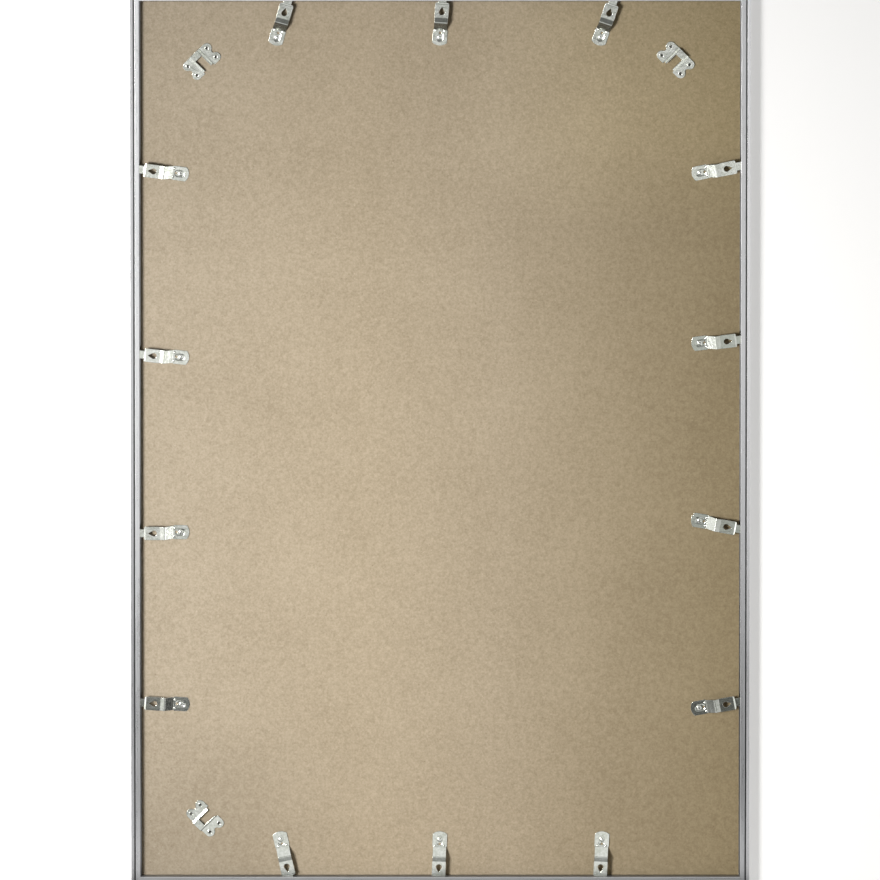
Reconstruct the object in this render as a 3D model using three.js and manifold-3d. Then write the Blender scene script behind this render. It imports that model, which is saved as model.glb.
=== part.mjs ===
// Poster frame for a 61 x 91.5 cm sheet, upright, display face towards -Y.
// Millimetres, +Z up, origin at the middle of the frame. X runs along the short sides.
import * as THREE from 'three';
import { mergeVertices } from 'three/addons/utils/BufferGeometryUtils.js';
import Module from 'manifold-3d';

const wasm = await Module();
wasm.setup();

// Sheet stack, counted from the display face backwards
const sheetWidth = 609;
const sheetHeight = 914;
const glazingThickness = 1.5;
const insertThickness = 0.3;
const panelThickness = 3;
const stackGap = 0.05;
const sheetClearance = 1.25;
const restGap = 0.3;

// Extruded rail: u runs inwards from the outer face, v backwards from the display face
const railDepth = 15;
const coverWidth = 15;
const lipWidth = 9.5;
const railWall = 1.5;
const webWall = 1.2;
const tongueSlot = 3.2;
const grooveInset = 3.1;
const grooveWidth = 1.7;
const grooveDepth = 0.8;
const chamberGusset = 1.6;
const edgeChamfer = 0.4;
const mitreGap = 0.1;

// Corner key, pressed into the rails' chambers
const keyArm = 34;
const keyClearance = 0.2;
const keyBarb = 0.5;
const keyBarbPitch = 5;
const keyBarbCount = 3;

// Turn clip, stamped and bent from one strip; s runs from the rivet towards the rail
const clipSheet = 0.8;
const clipGap = 0.15;
const clipEndReach = 8.6;
const clipEndSagitta = 2.9;
const clipPlateWidth = 14.8;
const clipHumpWidth = 13.5;
const clipPadWidth = 14;
const clipSideStep = 1;
const clipPadChamfer = 1.8;
const clipFootBend = 8.2;
const clipRampRun = 7.6;
const clipFallRun = 5.8;
const clipPadRun = 13.6;
const clipRiserRun = 1.7;
const clipTongueRun = 7.4;
const clipTongueWidth = 8.3;
const clipTongueChamfer = 0.8;
const clipTongueGap = 0.25;
const clipRiserDrop = 0.7;
const clipCrestRise = 0.8;
const clipBendRadius = 1;
const clipRiserRadius = 0.3;
const clipDishLength = 9.5;
const clipDishWidth = 6.3;
const clipDishShift = 1.6;
const clipDishDepth = 0.25;
const clipPeepholeRadius = 1.3;
const clipPeepholeReach = 4.6;
const teardropRadius = 2.8;
const teardropFromPad = 5.8;
const teardropLength = 8.8;
const teardropTip = 0.5;
const pipRadius = 1.3;
const pipTopRadius = 0.6;
const pipHeight = 0.4;
const pipSpread = 4.4;

// Rivets
const shankRadius = 1.6;
const rivetClearance = 0.08;
const headSeatGap = 0.1;
const clipHeadRadius = 2.7;
const clipHeadDome = 1.4;
const eyeletHeadRadius = 2.45;
const eyeletHeadHeight = 0.7;
const eyeletBoreRadius = 1.2;
const eyeletBoreDepth = 1.6;
const tailRadius = 2.7;
const tailThickness = 0.6;
const tailRecess = 0.15;
const roundSides = 10;

// Hanger, a raised bridge between two riveted wings
const hangerSheet = 1;
const hangerGap = 0.1;
const hangerClearHeight = 2.6;
const hangerBridgeWidth = 12.7;
const hangerBarReach = 12;
const hangerBarDepth = 7.1;
const hangerLegReach = 9;
const hangerLegWidth = 2.1;
const hangerBendRadius = 0.5;
const wingRivetSpacing = 13.1;
const wingRivetSpread = 27.1;
const wingLobeRadius = 4.9;
const wingNotchRadius = 2.5;

// Places on the back panel. A clip's rivet sits back from its rail so far that the tongue
// stops short of the rail's outer wall by this much
const endTongueClear = 2.15;
const sideTongueClear = 5.45;
const outerClipAcross = 164;
const outerClipUp = 279;
const innerClipUp = 92;
const hangerInsetAcross = 64;
const hangerInsetUp = 61;
const hangerTurn = 45;

// Each clip sits at a station along its edge, a little off by hand (drift, mm), and is
// left turned by a few degrees about its rivet. Right is the +X side.
const clipPlan = [
  { name: 'top_1', edge: 'top', station: outerClipAcross, drift: 1.8, turn: -16 },
  { name: 'top_2', edge: 'top', station: 0, drift: 0.4, turn: -3.9 },
  { name: 'top_3', edge: 'top', station: -outerClipAcross, drift: 1.5, turn: -18.7 },
  { name: 'bottom_1', edge: 'bottom', station: outerClipAcross, drift: -1.4, turn: 12.6 },
  { name: 'bottom_2', edge: 'bottom', station: 0, drift: 0.4, turn: -2.1 },
  { name: 'bottom_3', edge: 'bottom', station: -outerClipAcross, drift: -1, turn: -2.9 },
  { name: 'right_1', edge: 'right', station: outerClipUp, drift: -1.4, turn: -8.2 },
  { name: 'right_2', edge: 'right', station: innerClipUp, drift: -6.2, turn: -6.3 },
  { name: 'right_3', edge: 'right', station: -innerClipUp, drift: -5.2, turn: -0.5 },
  { name: 'right_4', edge: 'right', station: -outerClipUp, drift: 1.5, turn: -4.1 },
  { name: 'left_1', edge: 'left', station: outerClipUp, drift: -0.4, turn: 11.8 },
  { name: 'left_2', edge: 'left', station: innerClipUp, drift: 8.5, turn: 7.2 },
  { name: 'left_3', edge: 'left', station: -innerClipUp, drift: 6.9, turn: -10.4 },
  { name: 'left_4', edge: 'left', station: -outerClipUp, drift: -2.4, turn: 10.7 },
];

// Three corners carry a hanger; shift is how far each sits off its nominal place
const hangerPlan = [
  { name: 'top_right', sideX: 1, sideZ: 1, shift: [1.5, -1.5] },
  { name: 'top_left', sideX: -1, sideZ: 1, shift: [1.5, 0.2] },
  { name: 'bottom_right', sideX: 1, sideZ: -1, shift: [-0.6, -1.6] },
];

// How far a cutting shape runs past what it cuts
const cutMargin = 1;

// Sizes that follow from the ones above
const outerWidth = sheetWidth + 2 * (sheetClearance + lipWidth);
const outerHeight = sheetHeight + 2 * (sheetClearance + lipWidth);
const stackDrop = sheetClearance - restGap;
const glazingFront = railWall + stackGap;
const insertFront = glazingFront + glazingThickness + stackGap;
const panelFront = insertFront + insertThickness + stackGap;
const panelBack = panelFront + panelThickness;
const lipUnderside = railDepth - railWall - panelBack;
const rivetSeatDepth = tailRecess + tailThickness + headSeatGap;
const clipCrestAt = clipFootBend + clipRampRun;
const clipPadFrom = clipCrestAt + clipFallRun;
const clipPadTo = clipPadFrom + clipPadRun;
const clipTongueFrom = clipPadTo + clipRiserRun;
const clipReach = clipTongueFrom + clipTongueRun;
const teardropReach = clipPadFrom + teardropFromPad;
const wallToSheet = lipWidth + sheetClearance - railWall;
const endRivetInset = clipReach + endTongueClear - wallToSheet;
const sideRivetInset = clipReach + sideTongueClear - wallToSheet;

// Round holes are polygons: this radius keeps their flats clear of the shank
const clearRadius = (radius, clearance, sides) => (radius + clearance) / Math.cos(Math.PI / sides);

const finishes = {
  aluminium: { color: 0xc9cbcc, roughness: 0.38, metalness: 0.9 },
  zinc: { color: 0xcfd0c4, roughness: 0.28, metalness: 0.95 },
  hardboard: { color: 0xb49f7c, roughness: 0.85, metalness: 0 },
  paper: { color: 0xf2f0ea, roughness: 0.9, metalness: 0 },
  acrylic: { color: 0xdfe8ea, roughness: 0.05, metalness: 0, transparent: true, opacity: 0.3 },
  keySteel: { color: 0x9a9c9b, roughness: 0.45, metalness: 0.9 },
};

const rad = (degrees) => THREE.MathUtils.degToRad(degrees);

function makeMesh(name, geometry, finish) {
  const mesh = new THREE.Mesh(geometry, new THREE.MeshStandardMaterial(finishes[finish]));
  mesh.name = name;
  return mesh;
}

function toSolid(geometry) {
  const bare = geometry.clone();
  bare.deleteAttribute('normal');
  bare.deleteAttribute('uv');
  const merged = mergeVertices(bare, 1e-4);
  const vertProperties = new Float32Array(merged.attributes.position.array);
  const triVerts = new Uint32Array(merged.index.array);
  return new wasm.Manifold(new wasm.Mesh({ numProp: 3, vertProperties, triVerts }));
}

function toGeometry(solid) {
  const { vertProperties, triVerts } = solid.getMesh();
  const geometry = new THREE.BufferGeometry();
  geometry.setAttribute('position', new THREE.BufferAttribute(new Float32Array(vertProperties), 3));
  geometry.setIndex(new THREE.BufferAttribute(new Uint32Array(triVerts), 1));
  return geometry;
}

function extrude(shape, depth, curveSegments = 6) {
  return new THREE.ExtrudeGeometry(shape, { depth, bevelEnabled: false, curveSegments });
}

// A plan outline drawn in (s, across) stood up along +Y, from one height to another
function standUp(shape, low, high, curveSegments = 6) {
  return extrude(shape, high - low, curveSegments).rotateX(-Math.PI / 2).translate(0, low, 0);
}

// Section of a sheet bent along a path: both faces run parallel to the path's middle line,
// and every corner is a round bend with its own inside radius and number of facets
function bentStrip(corners, thickness, bends) {
  const half = thickness / 2;
  const middle = [];
  const point = (x, y) => new THREE.Vector2(x, y);
  const first = point(...corners[0]);
  const last = point(...corners[corners.length - 1]);
  const startDirection = point(...corners[1]).sub(first).normalize();
  middle.push({ at: first, direction: startDirection });
  for (let i = 1; i < corners.length - 1; i += 1) {
    const corner = point(...corners[i]);
    const before = corner.clone().sub(point(...corners[i - 1])).normalize();
    const after = point(...corners[i + 1]).sub(corner).normalize();
    const turn = Math.atan2(before.cross(after), before.dot(after));
    const { inside, steps } = bends[i - 1];
    const radius = inside + half;
    const tangent = radius * Math.tan(Math.abs(turn) / 2);
    const start = corner.clone().addScaledVector(before, -tangent);
    const side = Math.sign(turn);
    const centre = start.clone().add(point(-before.y, before.x).multiplyScalar(side * radius));
    for (let step = 0; step <= steps; step += 1) {
      const swing = (turn * step) / steps;
      const at = start.clone().rotateAround(centre, swing);
      const direction = before.clone().rotateAround(point(0, 0), swing);
      middle.push({ at, direction });
    }
  }
  const endDirection = last.clone().sub(point(...corners[corners.length - 2])).normalize();
  middle.push({ at: last, direction: endDirection });
  const offset = ({ at, direction }, distance) =>
    point(at.x - direction.y * distance, at.y + direction.x * distance);
  const lower = middle.map((station) => offset(station, -half));
  const upper = middle.map((station) => offset(station, half)).reverse();
  return new THREE.Shape([...lower, ...upper]);
}

// Rail section: display flange, outer wall, inner web and rear lip round an open chamber
function railSection() {
  const slotFloor = railDepth - railWall - tongueSlot;
  const shape = new THREE.Shape();
  shape.moveTo(edgeChamfer, 0);
  shape.lineTo(coverWidth - edgeChamfer, 0);
  shape.lineTo(coverWidth, edgeChamfer);
  shape.lineTo(coverWidth, railWall);
  shape.lineTo(lipWidth, railWall);
  shape.lineTo(lipWidth, slotFloor);
  shape.lineTo(lipWidth - webWall, slotFloor);
  shape.lineTo(lipWidth - webWall, railWall);
  shape.lineTo(railWall, railWall);
  shape.lineTo(railWall, railDepth - railWall - chamberGusset / 2);
  shape.lineTo(railWall + chamberGusset, railDepth - railWall);
  shape.lineTo(lipWidth, railDepth - railWall);
  shape.lineTo(lipWidth, railDepth - edgeChamfer);
  shape.lineTo(lipWidth - edgeChamfer, railDepth);
  shape.lineTo(grooveInset + grooveWidth, railDepth);
  shape.lineTo(grooveInset + grooveWidth, railDepth - grooveDepth);
  shape.lineTo(grooveInset, railDepth - grooveDepth);
  shape.lineTo(grooveInset, railDepth);
  shape.lineTo(edgeChamfer, railDepth);
  shape.lineTo(0, railDepth - edgeChamfer);
  shape.lineTo(0, edgeChamfer);
  shape.closePath();
  return shape;
}

// One mitred rail, lying along X with its outer face down at z = 0 and its middle at x = 0
function railGeometry(length) {
  const geometry = extrude(railSection(), length).translate(0, 0, -length / 2).rotateY(-Math.PI / 2);
  const position = geometry.attributes.position;
  for (let i = 0; i < position.count; i += 1) {
    const inward = position.getZ(i);
    const reach = length / 2 - inward - mitreGap / 2;
    position.setX(i, Math.sign(position.getX(i)) * reach);
  }
  geometry.computeVertexNormals();
  return geometry;
}

function makeRails() {
  const group = new THREE.Group();
  group.position.y = -railDepth / 2;
  const rails = [
    { name: 'rail_bottom', length: outerWidth, turn: 0, at: [0, -outerHeight / 2] },
    { name: 'rail_top', length: outerWidth, turn: 180, at: [0, outerHeight / 2] },
    { name: 'rail_right', length: outerHeight, turn: -90, at: [outerWidth / 2, 0] },
    { name: 'rail_left', length: outerHeight, turn: 90, at: [-outerWidth / 2, 0] },
  ];
  for (const { name, length, turn, at } of rails) {
    const rail = makeMesh(name, railGeometry(length), 'aluminium');
    rail.rotation.y = rad(turn);
    rail.position.set(at[0], 0, at[1]);
    group.add(rail);
  }
  return group;
}

// Corner key outline: an L whose arms fill the chamber, with barbs along their inner edges
function keyOutline() {
  const outer = railWall + keyClearance;
  const inner = lipWidth - webWall - keyClearance;
  const bed = inner - keyBarb;
  const shape = new THREE.Shape();
  shape.moveTo(outer, outer);
  shape.lineTo(keyArm, outer);
  shape.lineTo(keyArm, bed);
  for (let i = keyBarbCount; i > 0; i -= 1) {
    const start = inner + i * keyBarbPitch;
    shape.lineTo(start, bed);
    shape.lineTo(start - keyBarbPitch / 2, inner);
    shape.lineTo(start - keyBarbPitch / 2, bed);
  }
  shape.lineTo(bed, bed);
  for (let i = 1; i <= keyBarbCount; i += 1) {
    const start = inner + i * keyBarbPitch;
    shape.lineTo(bed, start - keyBarbPitch / 2);
    shape.lineTo(inner, start - keyBarbPitch / 2);
    shape.lineTo(bed, start);
  }
  shape.lineTo(bed, keyArm);
  shape.lineTo(outer, keyArm);
  shape.closePath();
  return shape;
}

function makeCornerKeys() {
  const group = new THREE.Group();
  const keyFront = railWall + keyClearance;
  const keyBack = railDepth - railWall - tongueSlot - keyClearance;
  const corners = [
    { name: 'bottom_left', sideX: -1, sideZ: -1, turn: 0 },
    { name: 'top_left', sideX: -1, sideZ: 1, turn: 90 },
    { name: 'top_right', sideX: 1, sideZ: 1, turn: 180 },
    { name: 'bottom_right', sideX: 1, sideZ: -1, turn: -90 },
  ];
  for (const { name, sideX, sideZ, turn } of corners) {
    const geometry = extrude(keyOutline(), keyBack - keyFront).rotateX(Math.PI / 2);
    geometry.translate(0, keyBack - railDepth / 2, 0);
    const key = makeMesh(`corner_key_${name}`, geometry, 'keySteel');
    key.rotation.y = rad(turn);
    key.position.set((sideX * outerWidth) / 2, 0, (sideZ * outerHeight) / 2);
    group.add(key);
  }
  return group;
}

function sheetGeometry(thickness) {
  return new THREE.BoxGeometry(sheetWidth, thickness, sheetHeight);
}

// A stepped drill for one rivet: the shank's hole, and the tail's recess from the front
function rivetDrill() {
  const hole = clearRadius(shankRadius, rivetClearance, roundSides);
  const recess = clearRadius(tailRadius, rivetClearance, roundSides);
  const step = -panelThickness + rivetSeatDepth;
  const profile = [
    new THREE.Vector2(0, -panelThickness - cutMargin),
    new THREE.Vector2(recess, -panelThickness - cutMargin),
    new THREE.Vector2(recess, step),
    new THREE.Vector2(hole, step),
    new THREE.Vector2(hole, cutMargin),
    new THREE.Vector2(0, cutMargin),
  ];
  return new THREE.LatheGeometry(profile, roundSides);
}

// Places of all rivets on the panel's back face, as (x, z) from the panel's middle
const edges = {
  top: { turn: -90, place: (along) => [along, sheetHeight / 2 - endRivetInset] },
  bottom: { turn: 90, place: (along) => [along, -sheetHeight / 2 + endRivetInset] },
  right: { turn: 0, place: (along) => [sheetWidth / 2 - sideRivetInset, along] },
  left: { turn: 180, place: (along) => [-sheetWidth / 2 + sideRivetInset, along] },
};

const clips = clipPlan.map(({ name, edge, station, drift, turn }) => ({
  name,
  at: edges[edge].place(station + drift),
  turn: edges[edge].turn + turn,
}));

const wingRivets = [];
for (const along of [-wingRivetSpacing / 2, wingRivetSpacing / 2]) {
  for (const across of [-wingRivetSpread / 2, wingRivetSpread / 2]) {
    wingRivets.push(new THREE.Vector3(along, 0, across));
  }
}

const hangers = hangerPlan.map(({ name, sideX, sideZ, shift }) => {
  const nominalX = sideX * (sheetWidth / 2 - hangerInsetAcross);
  const nominalZ = sideZ * (sheetHeight / 2 - hangerInsetUp);
  const turn = -sideZ * (sideX > 0 ? hangerTurn : 180 - hangerTurn);
  return { name, at: [nominalX + shift[0], nominalZ + shift[1]], turn };
});

const spin = (vector, degrees) => vector.clone().applyAxisAngle(new THREE.Vector3(0, 1, 0), rad(degrees));

const hangerRivets = hangers.flatMap(({ name, at, turn }) =>
  wingRivets.map((offset, index) => {
    const turned = spin(offset, turn);
    return { name: `${name}_${index + 1}`, at: [at[0] + turned.x, at[1] + turned.z], turn };
  }),
);

function makePanel() {
  let panel = toSolid(sheetGeometry(panelThickness).translate(0, -panelThickness / 2, 0));
  for (const { at, turn } of [...clips, ...hangerRivets]) {
    const drill = rivetDrill().rotateY(rad(turn)).translate(at[0], 0, at[1]);
    panel = panel.subtract(toSolid(drill));
  }
  return makeMesh('back_panel', toGeometry(panel), 'hardboard');
}

// Turn clip from the side: foot on the panel, ramp up, gentle fall to the pad, tongue
function clipSection() {
  const foot = clipGap + clipSheet / 2;
  const tongue = lipUnderside - clipTongueGap - clipSheet / 2;
  const pad = tongue + clipRiserDrop;
  const crest = pad + clipCrestRise;
  const corners = [
    [-clipEndReach, foot],
    [clipFootBend, foot],
    [clipCrestAt, crest],
    [clipPadFrom, pad],
    [clipPadTo, pad],
    [clipTongueFrom, tongue],
    [clipReach, tongue],
  ];
  const main = { inside: clipBendRadius, steps: 2 };
  const riser = { inside: clipRiserRadius, steps: 1 };
  return bentStrip(corners, clipSheet, [main, main, main, riser, riser]);
}

function teardrop() {
  const point = teardropReach - teardropRadius + teardropLength;
  const lean = Math.acos(teardropRadius / (point - teardropReach));
  const path = new THREE.Path();
  path.absarc(teardropReach, 0, teardropRadius, lean, 2 * Math.PI - lean, false);
  path.lineTo(point, -teardropTip);
  path.lineTo(point, teardropTip);
  path.closePath();
  return path;
}

// Turn clip from above
function clipOutline() {
  const plate = clipPlateWidth / 2;
  const hump = clipHumpWidth / 2;
  const pad = clipPadWidth / 2;
  const tongue = clipTongueWidth / 2;
  const endCorner = clipEndReach - clipEndSagitta;
  const endRadius = (plate ** 2 + clipEndSagitta ** 2) / (2 * clipEndSagitta);
  const endCentre = endRadius - clipEndReach;
  const endAngle = Math.atan2(plate, endCentre + endCorner);
  const shape = new THREE.Shape();
  shape.moveTo(-endCorner, -plate);
  shape.lineTo(clipFootBend - clipSideStep, -plate);
  shape.lineTo(clipFootBend, -hump);
  shape.lineTo(clipPadFrom, -hump);
  shape.lineTo(clipPadFrom + clipSideStep, -pad);
  shape.lineTo(clipTongueFrom - clipPadChamfer, -pad);
  shape.lineTo(clipTongueFrom, -pad + clipPadChamfer);
  shape.lineTo(clipTongueFrom, -tongue);
  shape.lineTo(clipReach - clipTongueChamfer, -tongue);
  shape.lineTo(clipReach, -tongue + clipTongueChamfer);
  shape.lineTo(clipReach, tongue - clipTongueChamfer);
  shape.lineTo(clipReach - clipTongueChamfer, tongue);
  shape.lineTo(clipTongueFrom, tongue);
  shape.lineTo(clipTongueFrom, pad - clipPadChamfer);
  shape.lineTo(clipTongueFrom - clipPadChamfer, pad);
  shape.lineTo(clipPadFrom + clipSideStep, pad);
  shape.lineTo(clipPadFrom, hump);
  shape.lineTo(clipFootBend, hump);
  shape.lineTo(clipFootBend - clipSideStep, plate);
  shape.lineTo(-endCorner, plate);
  shape.absarc(endCentre, 0, endRadius, Math.PI - endAngle, Math.PI + endAngle, false);
  shape.closePath();
  shape.holes.push(teardrop());
  return shape;
}

function dishOutline() {
  const radius = clipDishWidth / 2;
  const run = clipDishLength / 2 - radius;
  const shape = new THREE.Shape();
  shape.absarc(clipDishShift + run, 0, radius, -Math.PI / 2, Math.PI / 2, false);
  shape.absarc(clipDishShift - run, 0, radius, Math.PI / 2, (3 * Math.PI) / 2, false);
  shape.closePath();
  return shape;
}

function drillThrough(radius, sides, low, high) {
  return new THREE.CylinderGeometry(radius, radius, high - low, sides).translate(0, (low + high) / 2, 0);
}

function clipGeometry() {
  const footTop = clipGap + clipSheet;
  const width = clipPlateWidth + 2 * cutMargin;
  const strip = extrude(clipSection(), width).translate(0, 0, -width / 2);
  let clip = toSolid(strip).intersect(toSolid(standUp(clipOutline(), -cutMargin, railDepth)));
  for (const side of [-1, 1]) {
    const height = pipHeight + clipSheet / 2;
    const pip = new THREE.CylinderGeometry(pipTopRadius, pipRadius, height, 6);
    pip.translate(clipFootBend - pipRadius, footTop + pipHeight - height / 2, side * pipSpread);
    clip = clip.add(toSolid(pip));
  }
  const above = footTop + cutMargin;
  const dish = standUp(dishOutline(), footTop - clipDishDepth, above, 4);
  const holeRadius = clearRadius(shankRadius, rivetClearance, roundSides);
  const hole = drillThrough(holeRadius, roundSides, -cutMargin, above);
  const peephole = drillThrough(clipPeepholeRadius, 8, -cutMargin, above).translate(clipPeepholeReach, 0, 0);
  return toGeometry(clip.subtract(toSolid(dish)).subtract(toSolid(hole)).subtract(toSolid(peephole)));
}

// The part of every rivet below the panel's back face: shank, and tail spread in its recess
function rivetTail() {
  const tailLow = -panelThickness + tailRecess;
  const tailHigh = tailLow + tailThickness;
  return [
    new THREE.Vector2(0, tailLow),
    new THREE.Vector2(tailRadius, tailLow),
    new THREE.Vector2(tailRadius, tailHigh),
    new THREE.Vector2(shankRadius, tailHigh),
  ];
}

// Domed rivet that a turn clip swings on
function clipRivetGeometry() {
  const under = clipGap + clipSheet - clipDishDepth + headSeatGap;
  const profile = [...rivetTail()];
  profile.push(new THREE.Vector2(shankRadius, under));
  const domeRings = 2;
  for (let ring = 0; ring <= domeRings; ring += 1) {
    const angle = (ring / domeRings) * (Math.PI / 2);
    const radius = ring === domeRings ? 0 : clipHeadRadius * Math.cos(angle);
    profile.push(new THREE.Vector2(radius, under + clipHeadDome * Math.sin(angle)));
  }
  return new THREE.LatheGeometry(profile, roundSides);
}

// Tubular rivet that holds a hanger's wing, with its open bore in the head
function eyeletRivetGeometry() {
  const under = hangerGap + hangerSheet + headSeatGap;
  const top = under + eyeletHeadHeight;
  const profile = [...rivetTail()];
  profile.push(new THREE.Vector2(shankRadius, under));
  profile.push(new THREE.Vector2(eyeletHeadRadius, under));
  profile.push(new THREE.Vector2((eyeletHeadRadius + eyeletBoreRadius) / 2, top));
  profile.push(new THREE.Vector2(eyeletBoreRadius, top - eyeletHeadHeight / 4));
  profile.push(new THREE.Vector2(eyeletBoreRadius, top - eyeletBoreDepth));
  profile.push(new THREE.Vector2(0, top - eyeletBoreDepth));
  return new THREE.LatheGeometry(profile, roundSides);
}

// Hanger seen along its legs: wings on the panel, walls up, bridge across
function hangerSection() {
  const foot = hangerGap + hangerSheet / 2;
  const bridge = foot + hangerClearHeight;
  const wall = hangerBridgeWidth / 2 - hangerSheet / 2;
  const end = wingRivetSpread / 2 + wingLobeRadius + cutMargin;
  const corners = [
    [-end, foot],
    [-wall, foot],
    [-wall, bridge],
    [wall, bridge],
    [wall, foot],
    [end, foot],
  ];
  const bend = { inside: hangerBendRadius, steps: 2 };
  return bentStrip(corners, hangerSheet, [bend, bend, bend, bend]);
}

// Hanger from above: the bridge's U, and a wing with two lobes on each side
function hangerOutline() {
  const bridge = hangerBridgeWidth / 2;
  const leg = bridge - hangerLegWidth;
  const wingStep = bridge + hangerBendRadius / 2;
  const barInner = hangerBarReach - hangerBarDepth;
  const lobeX = wingRivetSpacing / 2;
  const lobeY = wingRivetSpread / 2;
  const wingEnd = lobeX + wingLobeRadius;
  const notchRise = Math.sqrt((wingLobeRadius + wingNotchRadius) ** 2 - lobeX ** 2);
  const meet = Math.atan2(notchRise, -lobeX);
  const shape = new THREE.Shape();
  shape.moveTo(barInner, -leg);
  shape.lineTo(-hangerLegReach, -leg);
  shape.lineTo(-hangerLegReach, -wingStep);
  shape.lineTo(-wingEnd, -wingStep);
  shape.absarc(-lobeX, -lobeY, wingLobeRadius, -Math.PI, meet - Math.PI, false);
  shape.absarc(0, -lobeY - notchRise, wingNotchRadius, meet, Math.PI - meet, true);
  shape.absarc(lobeX, -lobeY, wingLobeRadius, -meet, 0, false);
  shape.lineTo(wingEnd, -wingStep);
  shape.lineTo(hangerBarReach, -wingStep);
  shape.lineTo(hangerBarReach, wingStep);
  shape.lineTo(wingEnd, wingStep);
  shape.absarc(lobeX, lobeY, wingLobeRadius, 0, meet, false);
  shape.absarc(0, lobeY + notchRise, wingNotchRadius, meet - Math.PI, -meet, true);
  shape.absarc(-lobeX, lobeY, wingLobeRadius, Math.PI - meet, Math.PI, false);
  shape.lineTo(-wingEnd, wingStep);
  shape.lineTo(-hangerLegReach, wingStep);
  shape.lineTo(-hangerLegReach, leg);
  shape.lineTo(barInner, leg);
  shape.closePath();
  return shape;
}

function hangerGeometry() {
  const length = 2 * (hangerBarReach + cutMargin);
  const strip = extrude(hangerSection(), length).translate(0, 0, -length / 2).rotateY(Math.PI / 2);
  let hanger = toSolid(strip).intersect(toSolid(standUp(hangerOutline(), -cutMargin, railDepth, 5)));
  const holeRadius = clearRadius(shankRadius, rivetClearance, roundSides);
  const above = hangerGap + hangerSheet + cutMargin;
  for (const offset of wingRivets) {
    const hole = drillThrough(holeRadius, roundSides, -cutMargin, above);
    hanger = hanger.subtract(toSolid(hole.translate(offset.x, 0, offset.z)));
  }
  return toGeometry(hanger);
}

// Everything that the rails hold; its origin is the middle of the panel's back face
function makeStack() {
  const stack = new THREE.Group();
  stack.position.set(0, panelBack - railDepth / 2, -stackDrop);
  const glazing = makeMesh('glazing', sheetGeometry(glazingThickness), 'acrylic');
  glazing.position.y = glazingFront + glazingThickness / 2 - panelBack;
  const insert = makeMesh('insert', sheetGeometry(insertThickness), 'paper');
  insert.position.y = insertFront + insertThickness / 2 - panelBack;
  stack.add(glazing, insert, makePanel());
  const repeats = [
    { kind: 'turn_clip', geometry: clipGeometry(), places: clips },
    { kind: 'clip_rivet', geometry: clipRivetGeometry(), places: clips },
    { kind: 'hanger', geometry: hangerGeometry(), places: hangers },
    { kind: 'hanger_rivet', geometry: eyeletRivetGeometry(), places: hangerRivets },
  ];
  for (const { kind, geometry, places } of repeats) {
    for (const { name, at, turn } of places) {
      const mesh = makeMesh(`${kind}_${name}`, geometry, 'zinc');
      mesh.position.set(at[0], 0, at[1]);
      mesh.rotation.y = rad(turn);
      stack.add(mesh);
    }
  }
  return stack;
}

const frame = new THREE.Group();
frame.add(makeRails(), makeCornerKeys(), makeStack());

export default frame;
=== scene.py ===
"""Poster frame for a 61 x 91.5 cm sheet, dressed for a view of its back.

Aluminium rails hold a clear sheet, a paper insert and a hardboard panel. Fourteen zinc-plated turn
clips and three raised hangers are riveted to the panel. The keys and sheets keep their solids and
get finishes here. Rails, clips, hangers and rivets are made again as finer drawn, pressed and turned
pieces.
"""

import functools
import logging
import math
from collections.abc import Callable, Iterable
from dataclasses import dataclass, field
from enum import Enum

import bpy
import numpy as np
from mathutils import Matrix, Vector


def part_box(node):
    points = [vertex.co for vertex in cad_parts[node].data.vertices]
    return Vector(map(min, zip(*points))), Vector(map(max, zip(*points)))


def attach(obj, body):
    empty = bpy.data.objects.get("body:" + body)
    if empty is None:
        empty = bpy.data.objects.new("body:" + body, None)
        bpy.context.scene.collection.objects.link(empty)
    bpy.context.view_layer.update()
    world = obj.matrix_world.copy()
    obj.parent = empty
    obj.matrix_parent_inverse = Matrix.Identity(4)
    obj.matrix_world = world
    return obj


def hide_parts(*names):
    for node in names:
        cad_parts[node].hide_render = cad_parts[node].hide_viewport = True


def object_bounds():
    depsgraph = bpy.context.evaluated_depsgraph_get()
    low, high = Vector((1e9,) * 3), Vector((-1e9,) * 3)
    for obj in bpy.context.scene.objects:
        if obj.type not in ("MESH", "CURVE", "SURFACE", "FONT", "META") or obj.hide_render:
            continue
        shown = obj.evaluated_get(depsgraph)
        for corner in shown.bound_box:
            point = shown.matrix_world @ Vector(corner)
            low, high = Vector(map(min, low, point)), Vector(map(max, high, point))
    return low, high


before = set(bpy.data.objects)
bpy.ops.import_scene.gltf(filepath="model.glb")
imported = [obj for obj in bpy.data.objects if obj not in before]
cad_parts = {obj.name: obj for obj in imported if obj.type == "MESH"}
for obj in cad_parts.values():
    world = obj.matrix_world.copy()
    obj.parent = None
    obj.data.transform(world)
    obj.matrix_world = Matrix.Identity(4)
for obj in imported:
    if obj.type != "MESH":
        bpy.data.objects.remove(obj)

log = logging.getLogger("poster_frame")

MM = 0.001
SOLID_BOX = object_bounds()
RAIL_BACK = SOLID_BOX[1].y
PANEL_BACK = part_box("back_panel")[1].y

Material = bpy.types.Material
Piece = bpy.types.Object
Node = bpy.types.Node
Socket = bpy.types.NodeSocket
Tree = bpy.types.NodeTree
Fed = Socket | float | tuple
Point = tuple[float, float, float]
Colour = tuple[float, float, float, float]
Radius = Callable[[np.ndarray, float], np.ndarray]
Opening = tuple[slice, slice, tuple[float, float], Radius]


class Grain(Enum):
    """Direction that a rail was drawn in, which its fine lines follow."""

    ALONG_X = (1.0, 40.0, 40.0)
    ALONG_Z = (40.0, 40.0, 1.0)


# Shapes


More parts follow.
